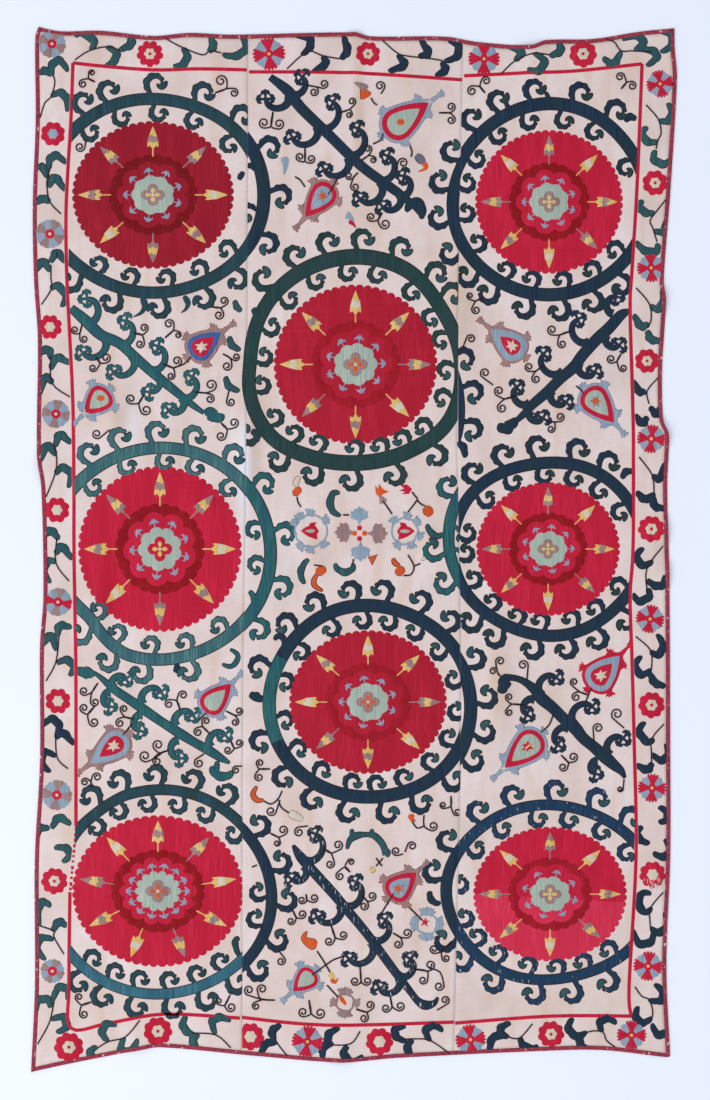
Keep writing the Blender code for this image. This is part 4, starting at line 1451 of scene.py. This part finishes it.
# Tendrils of chain stitch: root, fork, and each curl's middle and radius; without a fork, one curl
tendrils = (
    ((95, 82), (89, 79), (83, 84, 4.3), (92, 73, 3.2)), ((215, 93), (226, 89), (221, 81, 6), (234, 93, 4.5)),
    ((86, 140), None, (80, 147, 5)), ((273, 112), (271, 126), (264, 123, 5.5), (279, 124, 5.5)),
    ((305, 148), (305, 161), (300, 157, 4.5), (311, 159, 4.5)),
    ((304, 85), (316, 87), (314, 92, 4.5), (324, 84, 4.5)),
    ((339, 113), (349, 110), (349, 115, 3.5), (352, 102, 4)),
    ((360, 162), (368, 156), (368, 149, 4), (373, 160, 3.5)), ((396, 170), None, (403, 163, 5)),
    ((358, 173), (354, 177), (349, 176, 4), (355, 187, 4.5)),
    ((382, 213), (378, 220), (371, 217, 4.5), (385, 224, 5.5)),
    ((439, 113), (449, 113), (451, 107, 4.5), (451, 120, 4.5)),
    ((485, 93), (480, 87), (472, 91, 5), (486, 81, 4.5)),
    ((621, 89), (626, 83), (620, 77, 4.5), (632, 86, 4.5)),
    ((82, 325), (80, 333), (75, 330, 4), (84, 339, 4)),
    ((134, 333), (142, 335), (144, 328, 4.5), (140, 344, 4.5)),
    ((165, 338), (173, 331), (169, 324, 5), (178, 335, 3.5)),
    ((96, 357), (100, 363), (106, 358, 5), (93, 368, 4)),
    ((163, 364), (173, 368), (177, 361, 5), (171, 376, 4)),
    ((144, 395), (139, 403), (131, 399, 5), (146, 410, 5.5)),
    ((194, 392), (205, 393), (211, 385, 6), (210, 399, 4.5)),
    ((212, 307), (220, 308), (224, 301, 4.5), (219, 315, 5)),
    ((223, 354), (230, 358), (236, 357, 4), (227, 366, 5)),
    ((229, 391), None, (231, 402, 4.5)), ((221, 423), (227, 429), (234, 423, 5), (221, 436, 5)),
    ((110, 430), None, (97, 434, 5)), ((484, 297), (476, 301), (470, 296, 3.5), (476, 310, 4.5)),
    ((571, 331), (560, 335), (552, 330, 5), (562, 344, 4.5)), ((460, 355), None, (471, 339, 4.5)),
    ((543, 366), (536, 371), (529, 367, 4.5), (536, 379, 4.5)), ((493, 385), None, (485, 373, 5)),
    ((515, 396), (505, 399), (499, 391, 5), (502, 408, 5)),
    ((621, 354), (617, 361), (611, 359, 4.5), (623, 368, 4)),
    ((546, 422), (554, 422), (560, 417, 4.5), (551, 429, 4)),
    ((98, 683), (92, 692), (84, 691, 4.5), (95, 702, 4.5)),
    ((95, 706), (88, 714), (84, 708, 4.5), (94, 722, 5)),
    ((133, 719), (125, 717), (124, 709, 4), (120, 723, 4.5)),
    ((180, 709), (177, 701), (169, 704, 4.5), (183, 695, 4.5)),
    ((226, 711), (234, 715), (239, 711, 4), (235, 722, 4)),
    ((210, 734), (203, 727), (198, 732, 4.5), (206, 721, 4)),
    ((230, 739), (234, 748), (239, 743, 4), (228, 750, 4)),
    ((169, 750), (160, 753), (158, 745, 5.5), (157, 761, 4.5)), ((163, 752), (155, 758), (145, 756, 6)),
    ((204, 754), None, (199, 763, 5)), ((92, 788), (91, 782), (85, 782, 4), (97, 777, 4.5)),
    ((270, 769), (260, 769), (260, 763, 4), (259, 777, 4.5)), ((251, 764), (242, 766), (236, 770, 4)),
    ((270, 833), (278, 837), (283, 830, 5), (277, 843, 3.5)), ((308, 826), None, (299, 832, 5)),
    ((424, 815), (424, 826), (433, 826, 5)), ((451, 796), (451, 806), (443, 805, 3.5), (457, 812, 4)),
    ((500, 676), (497, 672), (500, 661, 4.5), (493, 671, 4)), ((527, 679), None, (523, 665, 5)),
    ((524, 705), (512, 704), (509, 697, 4), (509, 712, 4)),
    ((588, 695), (580, 692), (574, 682, 4), (576, 697, 4.5)),
    ((594, 742), None, (598, 728, 5)), ((624, 728), None, (617, 714, 6)),
    ((561, 755), (568, 762), (573, 757, 5), (563, 767, 4.5)), ((624, 779), None, (620, 789, 3)),
    ((324, 849), (331, 853), (338, 845, 5), (330, 864, 4.5)),
    ((350, 872), (345, 867), (351, 862, 3.5), (340, 876, 4.5)),
    ((362, 895), (367, 901), (372, 896, 4.5), (364, 906, 4.5)),
    ((331, 925), (335, 937), (329, 941, 4.5), (343, 935, 4.5)),
    ((306, 894), (307, 900), (302, 900, 4), (314, 898, 4.5)),
    ((292, 909), (296, 917), (302, 914, 4.5), (291, 921, 4)),
    ((279, 951), None, (281, 961, 4.5)), ((393, 933), (400, 937), (407, 933, 5), (398, 944, 4.5)),
    ((360, 966), (361, 981), (355, 981, 4.5), (367, 981, 4.5)),
    ((414, 969), (427, 971), (430, 965, 5), (423, 980, 4.5)),
    ((429, 968), (440, 972), (439, 986, 5)), ((390, 995), (392, 1006), (386, 1008, 4.5), (400, 1006, 5)),
    ((437, 1010), None, (445, 1000, 4.5)), ((275, 1000), (261, 999), (249, 990, 5), (262, 989, 5)),
    ((264, 999), (258, 1001), (256, 1006, 4)), ((309, 1000), (311, 1013), (303, 1012, 5), (320, 1013, 5.5)),
    ((356, 1009), (366, 1012), (370, 1005, 4.5), (364, 1018, 4.5)),
    ((452, 941), (442, 951), (434, 949, 4.5), (446, 958, 4)),
    ((91, 1002), (82, 1005), (79, 997, 4), (84, 1014, 4.5)),
    ((230, 995), (225, 1005), (219, 1001, 3.5), (231, 1007, 5)),
    ((280, 800), None, (271, 811, 5)), ((381, 94), None, (380, 86, 5)), ((403, 854), None, (396, 851, 4.5)),
    ((405, 852), None, (412, 846, 4.5)),
)
twigs = (
    ((371, 98), (374, 103), (377, 105)), ((410, 146), (412, 152), (411, 157)),
    ((383, 134), (381, 140), (373, 144)),
    ((295, 177), (300, 180), (305, 187)), ((338, 177), (333, 187), (328, 195)),
    ((297, 497), (298, 502), (301, 507)),
    ((314, 565), (322, 566)), ((343, 515), (349, 515)), ((353.5, 559), (352.5, 565)),
    ((247, 318), (255, 312)), ((412, 492), (415, 496), (417, 500), (408, 512)),
    ((417, 500), (421, 504), (425, 506)),
    ((383, 501), (388, 508), (392, 514)), ((403.5, 575.5), (411, 574.5), (414, 566), (408, 555)),
    ((414, 566), (420.5, 563.5)), ((132, 724), (123, 735)), ((206, 713), (199, 720)),
    ((553, 715), (549, 725), (541, 732)),
    ((591, 688), (588, 696), (585, 703)), ((317, 951), (323, 960), (330, 972)),
    ((345, 956), (335, 959), (327, 964), (312, 975)), ((394, 893), (387, 904), (381, 914)),
    ((409, 907), (422, 920)),
    ((327, 985), (338, 997)), ((264, 801), (271, 804), (278, 799), (282, 791)),
    ((279, 800), (281, 807), (289, 813)),
    ((424, 826), (417, 828), (412, 821)), ((376, 858), (382, 866)), ((383, 858), (376, 866)),
    ((252, 867), (257, 865)),
    ((583, 393), (580, 389), (576, 386)), ((173, 368), (184, 364), (191, 357)),
)


def curl(fromX, fromY, heading, middleX, middleY, radius):
    # a line that meets a circle without a corner, and winds in on itself
    apartX, apartY = fromX - middleX, fromY - middleY
    apart = math.hypot(apartX, apartY)
    base = math.atan2(apartY, apartX)
    swing = math.acos(min(radius / apart, 1.0)) if apart > 0 else 0.0
    best = None
    for way in (-1, 1):
        angle = base + way * swing
        edgeX, edgeY = middleX + radius * math.cos(angle), middleY + radius * math.sin(angle)
        runX, runY = edgeX - fromX, edgeY - fromY
        length = math.hypot(runX, runY) or 1.0
        match = (runX * heading[0] + runY * heading[1]) / length
        if best is None or match > best[0]:
            best = (match, angle, way)
    _, angle, way = best
    points = []
    steps = 17
    for index in range(steps + 1):
        share = index / steps
        turn = angle + way * share * 2.7 * math.pi
        reach = radius * (1 - 0.72 * share)
        points.append((middleX + reach * math.cos(turn), middleY + reach * math.sin(turn)))
    return points


def stitchTendrils():
    for root, fork, *curls in tendrils:
        panel = panelAt(*curls[0][:2])
        start = fork or root
        heading = (start[0] - root[0], start[1] - root[1])
        for x, y, radius in curls:
            if fork is None:
                heading = (x - root[0], y - root[1])
            length = math.hypot(*heading) or 1.0
            winding = curl(*start, (heading[0] / length, heading[1] / length), x, y, radius)
            lead = [root, fork] if fork else [root]
            line = through(lead + winding[:2], 3)[:-1] + winding[1:]
            strand("dark", panel, line, 0.8)
    for points in twigs:
        strand("dark", panelAt(*points[0]), through(points, 3) if len(points) > 2 else list(points), 0.85)


# Small buds and leaves: thread, half width, then points along them; "tail" ones start round and
# taper to a point
beans = (
    ("orange", 1.7, ((400, 566), (395, 563), (393, 558))),
    ("orange", 4.8, ((396.5, 568), (400, 571), (403.5, 574)), "oval"),
    ("orange", 1.7, ((318, 573), (314, 580), (315, 586), (323, 591))),
    ("orange", 4.9, ((318, 567), (321, 570.5), (324, 574)), "oval"),
    ("leaf", 2.2, ((309, 559), (303, 566), (301, 575), (305, 584))),
    ("leaf", 2.5, ((340, 493), (333, 494), (330.5, 503), (333, 511), (341, 516))),
    ("leaf", 2.4, ((335, 563), (338, 569), (345, 572), (352, 569), (353, 563))),
    ("brown", 4.0, ((384, 503), (382, 499), (379, 495)), "tail"),
    ("orange", 4.6, ((424.5, 507), (428, 511), (431.5, 515.5)), "oval"),
    ("pale", 2.2, ((297, 487), (296, 482), (300, 476))),
    ("orange", 4.7, ((294, 489), (297, 491.5), (300, 494)), "oval"),
    ("orange", 6.0, ((367, 98), (364, 93), (361, 88)), "tail"),
    ("brown", 4.4, ((367, 90), (361, 86), (354, 83)), "tail"),
    ("slate", 3.8, ((416, 155), (420, 159), (424, 163)), "oval"),
    ("orange", 2.6, ((423, 162), (426, 168), (418, 172)), "tail"),
    ("paleBlue", 4.0, ((284, 157), (285.5, 165), (284, 175)), "tail"),
    ("paleBlue", 4.0, ((346, 215), (350, 217), (354, 222)), "tail"),
    ("red", 2.2, ((349, 221), (353, 224), (356, 228)), "tail"),
    ("pale", 1.9, ((422, 557.5), (423.6, 558.5), (425.4, 559.6)), "oval"),
    ("orange", 1.8, ((264, 800), (257, 800), (253, 794), (257, 786))),
    ("pale", 3.4, ((288, 813), (294, 815), (303, 820))),
    ("orange", 3.2, ((411, 814), (412, 819), (416, 821)), "tail"),
    ("orange", 5.4, ((317, 945), (310, 943), (304, 938), (307, 931)), "tail"),
    ("yellow", 3.0, ((329, 973), (333, 977), (334, 982)), "tail"),
    ("orange", 2.2, ((331, 979), (335, 982), (338, 978)), "tail"),
    ("yellow", 2.4, ((370, 871), (372.6, 869.7), (375, 868)), "oval"),
    ("navy", 3.2, ((263, 701), (256, 697), (249, 695))),
    ("leaf", 1.8, ((351, 829), (352, 832), (351, 837)), "oval"),
    ("leaf", 1.8, ((371, 829), (372, 832), (371, 837)), "oval"),
    ("leaf", 2.2, ((385, 849), (388, 852), (387, 857)), "oval"),
    ("navy", 1.9, ((257, 172), (252, 166), (247, 167))),
    ("navy", 1.6, ((244, 172), (241, 176), (239, 180))), ("navy", 1.2, ((505, 101), (508, 107), (512, 112))),
    ("navy", 1.2, ((546, 92), (548, 97), (550, 101))),
    ("leaf", 2.2, ((444, 533), (437, 536), (430, 531), (427, 524))),
    ("navy", 2.0, ((283, 648), (284, 640), (279, 636), (274, 640))),
    ("navy", 2.0, ((176, 663), (177, 668), (174, 672))),
    ("emerald", 1.5, ((230, 649), (238, 656), (232, 666), (222, 664))),
    ("navy", 2.2, ((441, 903), (434, 902), (430, 896), (431, 891))),
    ("leaf", 2.0, ((235, 300), (237, 307), (242, 311))), ("leaf", 2.4, ((230, 336), (232, 345), (241, 350))),
    ("leaf", 2.4, ((226, 376), (229, 386), (240, 391))), ("navy", 2.6, ((457, 443), (463, 447), (465, 458))),
    ("green", 2.1, ((240, 939), (236, 940), (236, 947), (240, 957))),
    ("green", 3.4, ((142, 297), (145, 306), (141, 313), (133, 317)), "tail"),
    ("green", 3.0, ((184, 296), (188, 303), (186, 309), (181, 313)), "tail"),
    ("navy", 2.4, ((625, 122), (630, 117), (636, 120))), ("navy", 2.4, ((622, 479), (626, 472), (633, 472))),
    ("forest", 2.6, ((252, 309), (256, 313), (258, 320))),
    ("forest", 2.6, ((252, 430), (257, 434), (262, 436))),
    ("emerald", 1.7, ((249, 591), (253, 596), (253, 603))),
    ("navy", 3.8, ((406, 212), (413, 203), (421, 207), (421, 219))),
    ("emerald", 4.4, ((77, 668), (84, 672), (88, 672), (95, 675))),
    ("emerald", 3.2, ((211, 766), (216, 774), (226, 776), (233, 771))),
    ("emerald", 1.6, ((218, 761), (217, 766), (218, 771))),
    ("emerald", 4.6, ((204, 413), (210, 412), (216, 417), (225, 416))),
    ("navy", 4.8, ((517, 418), (510, 425), (504, 428), (498, 424))),
    ("navy", 4.8, ((507, 674), (504, 680), (503, 686), (498, 692))),
)


def stitchBean(panel, thread, half, points, kind):
    line = through(points, 4)
    spine = []
    for index, (x, y) in enumerate(line):
        share = index / (len(line) - 1)
        if kind == "oval":
            width = half * math.sin(math.pi * min(max(share, 0.06), 0.94)) ** 0.5
        else:
            width = half * min(1.0, math.sqrt((share + 0.04) / 0.25)) * min(1.0, 1.25 * (1 - share)) ** 0.9
        spine.append((x, y, width + 0.3))
    if kind == "oval" or half > 5:
        patch("dark", panel, ribbon(spine, 2, 0, 0.0, 0.5), 0)
    patch(thread, panel, ribbon(spine, 2), 1.2)


# The crossed flower in the middle of the cloth, two small blossoms, and a three-lobed arch
crossPetal = ((0, -9), (2.2, -4), (5.6, -3.2), (8.6, -1.2), (7.6, 1.6), (8.4, 4.6), (5.4, 4.4), (4.6, 7.0),
              (2.2, 6.8), (0, 9.4), (-2.2, 6.8), (-4.6, 7.0), (-5.4, 4.4), (-8.4, 4.6), (-7.6, 1.6),
              (-8.6, -1.2), (-5.6, -3.2), (-2.2, -4))
crossPetals = (("paleBlue", 359.4, 516, 0, 1.06), ("paleBlue", 360.5, 551, 180, 1.16),
               ("brown", 345, 532.5, -90, 1.16), ("brown", 377, 533.5, 90, 1.2))
crossSquares = (("red", 359.5, 528), ("red", 359.5, 538.6), ("orange", 354.4, 533.3), ("orange", 364.6, 533.3))
blossoms = (
    ("orange", ((375, 485), (378, 489), (379, 484), (383, 489), (389, 492), (383, 494), (380, 498),
                (376, 494))),
    ("red", ((400, 485), (407, 484.5), (412, 489), (409, 494), (402, 494), (405, 491.5), (399, 491),
             (404, 488.5))),
)
triangle = ((368.5, 557.5), (377, 554.5), (372, 565))
lobedArch = ((347, 849, 1.0), (350, 840, 2.6), (357, 835.5, 3.2), (366, 834.5, 2.0), (375, 836, 2.9),
             (383, 845, 2.8), (386, 855, 2.8))


def stitchCentre():
    for thread, x, y, angle, size in crossPetals:
        patch(thread, "centre", placed(crossPetal, x, y, angle, size), 1)
    for thread, x, y in crossSquares:
        patch(thread, "centre", lobed(x, y, 2.8, 2.8, 4, 0.6, 4), 1.8)
    for thread, outline in blossoms:
        patch(thread, "centre", outline, 1.2)
    for thread, half, points, *kind in beans:
        panel = panelAt(*points[1])
        if kind:
            stitchBean(panel, thread, half, points, kind[0])
            continue
        scallops = 0 if thread in ("orange", "yellow", "pale", "red") else 3
        halo = "dark" if thread not in ("yellow", "pale") else "brown"
        stitchLeaf(panel, points, thread, half, scallops, "field", halo)
    outlined("orange", "centre", triangle)
    patch("dark", "centre", ribbon(lobedArch, 4, 0, 0, 0.8), 0)
    patch("leaf", "centre", ribbon(lobedArch, 4), 1)


# Barbed rings: middle, radius, ring thread, barbs, then the heart inside
barbRings = (
    (311, 531, 17.2, "paleBlue", (-4, -38, -65, 52, 134, 182, 213), "left"),
    (404.8, 531.2, 14.2, "paleBlue", (8, -46, 50, 106, 153, 207), "right"),
    (427, 924, 11.5, "paleBlue", (-14, 14, 76, 104, 166, 194, 256, 284), "cross"),
    (345, 1002.5, 10.0, "brown", (-14, 14, 90, 166, 194, 270), "petal"),
)
ringHeart = ((10, 0), (6, -3.6), (2.6, -4.8), (0.6, -8), (-5.4, -9), (-4, -5.6), (-6.6, -2), (-8, 0.4),
             (-6, 3.2), (-6.6, 8.6), (-2.4, 7.4), (2.4, 5.6), (6, 3.4))
ringSlit = ((-5, 0, 0.8), (0, 0, 2.2), (5.5, 0, 0.7))
ringCross = ((0, 5), (1.2, 1.4), (4.6, 2.4), (2, -0.6), (3.4, -4.4), (0, -2), (-3.4, -4.4), (-2, -0.6),
             (-4.6, 2.4), (-1.2, 1.4))
ringPetal = ((-5, -7, 0.8), (-3, -3, 2.2), (1, 2, 1.0))


def stitchRings():
    for x, y, radius, thread, barbs, heart in barbRings:
        angles = [2 * math.pi * index / 40 for index in range(40)]
        loops = [[(x + size * math.sin(angle), y - size * math.cos(angle)) for angle in angles]
                 for size in (radius, radius - 2.0)]
        patch(thread, "centre", loops[0], 1, loops[1])
        for angle in barbs:
            turn = math.radians(angle)
            barb = placed(crown, x + radius * math.sin(turn), y - radius * math.cos(turn), angle + 14, 0.92)
            patch("slate", "centre", grown(barb, 0.4), 0)
            patch(thread, "centre", barb, 0.9)
        if heart in ("left", "right"):
            way = -1 if heart == "left" else 1
            patch("red", "centre", [(x + way * u, y + v) for u, v in ringHeart], 1.2)
            patch("mint", "centre", ribbon([(x + way * u, y + v, w) for u, v, w in ringSlit], 4), 2.2)
        elif heart == "cross":
            patch("red", "centre", placed(ringCross, x - 2, y - 2, 10), 1.4)
        else:
            patch("orange", "centre", ribbon([(x + u, y + v, w) for u, v, w in ringPetal], 4), 1.4)


view = {"lens": 85.0, "widthPixels": 710, "heightPixels": 1100, "sensor": 36.0}
light = {
    "sky": (0.93, 0.96, 1.0, 1.0),
    "skyStrength": 0.86,
    "place": (-4.2, -2.0, 3.8),
    "size": (3.0, 4.0),
    "energy": 118.0,
    "colour": (0.95, 0.97, 1.0),
}


def makeFloor():
    bm = bmesh.new()
    bmesh.ops.create_grid(bm, x_segments=2, y_segments=2, size=6.0)
    mesh = bpy.data.meshes.new("floor")
    bm.to_mesh(mesh)
    bm.free()
    material, _, shader = nodeMaterial("paleFloor")
    shader.inputs["Base Color"].default_value = (0.86, 0.90, 1.0, 1.0)
    shader.inputs["Roughness"].default_value = 0.95
    shader.inputs["Specular IOR Level"].default_value = 0.1
    mesh.materials.append(material)
    floor = bpy.data.objects.new("floor", mesh)
    floor.location.z = -0.0005
    bpy.context.scene.collection.objects.link(floor)


def makeLights():
    world = bpy.data.worlds.new("studio")
    world.use_nodes = True
    background = world.node_tree.nodes["Background"]
    background.inputs["Color"].default_value = light["sky"]
    background.inputs["Strength"].default_value = light["skyStrength"]
    bpy.context.scene.world = world
    lamp = bpy.data.lights.new("window", "AREA")
    lamp.shape = "RECTANGLE"
    lamp.size, lamp.size_y = light["size"]
    lamp.energy = light["energy"]
    lamp.color = light["colour"]
    holder = bpy.data.objects.new("window", lamp)
    holder.location = light["place"]
    holder.rotation_mode = "QUATERNION"
    holder.rotation_quaternion = (-Vector(light["place"])).to_track_quat("-Z", "Y")
    bpy.context.scene.collection.objects.link(holder)


def makeCamera():
    height = view["lens"] / view["sensor"] * view["heightPixels"] * cloth["pixel"]
    camera = bpy.data.cameras.new("above")
    camera.lens = view["lens"]
    camera.sensor_width = view["sensor"]
    camera.clip_end = 50.0
    holder = bpy.data.objects.new("above", camera)
    middle = onCloth(view["widthPixels"] / 2, view["heightPixels"] / 2)
    holder.location = (*middle, height)
    bpy.context.scene.collection.objects.link(holder)
    bpy.context.scene.camera = holder


def main():
    bpy.context.scene.view_settings.view_transform = "Standard"
    makeCamera()
    makeFloor()
    makeLights()
    panels = makePanels()
    print("cotton laid")
    braids = makeBraids()
    print("braids laid")
    materials = {name: threadMaterial(name) for name in threads}
    stitchMedallions()
    print("medallions stitched")
    stitchStripes()
    stitchBorder()
    print("border stitched")
    stitchAntlers()
    stitchTeardrops()
    stitchRings()
    stitchCentre()
    stitchTendrils()
    print("field stitched")
    stitches = makeStitching(materials)
    print("stitches joined")


main()
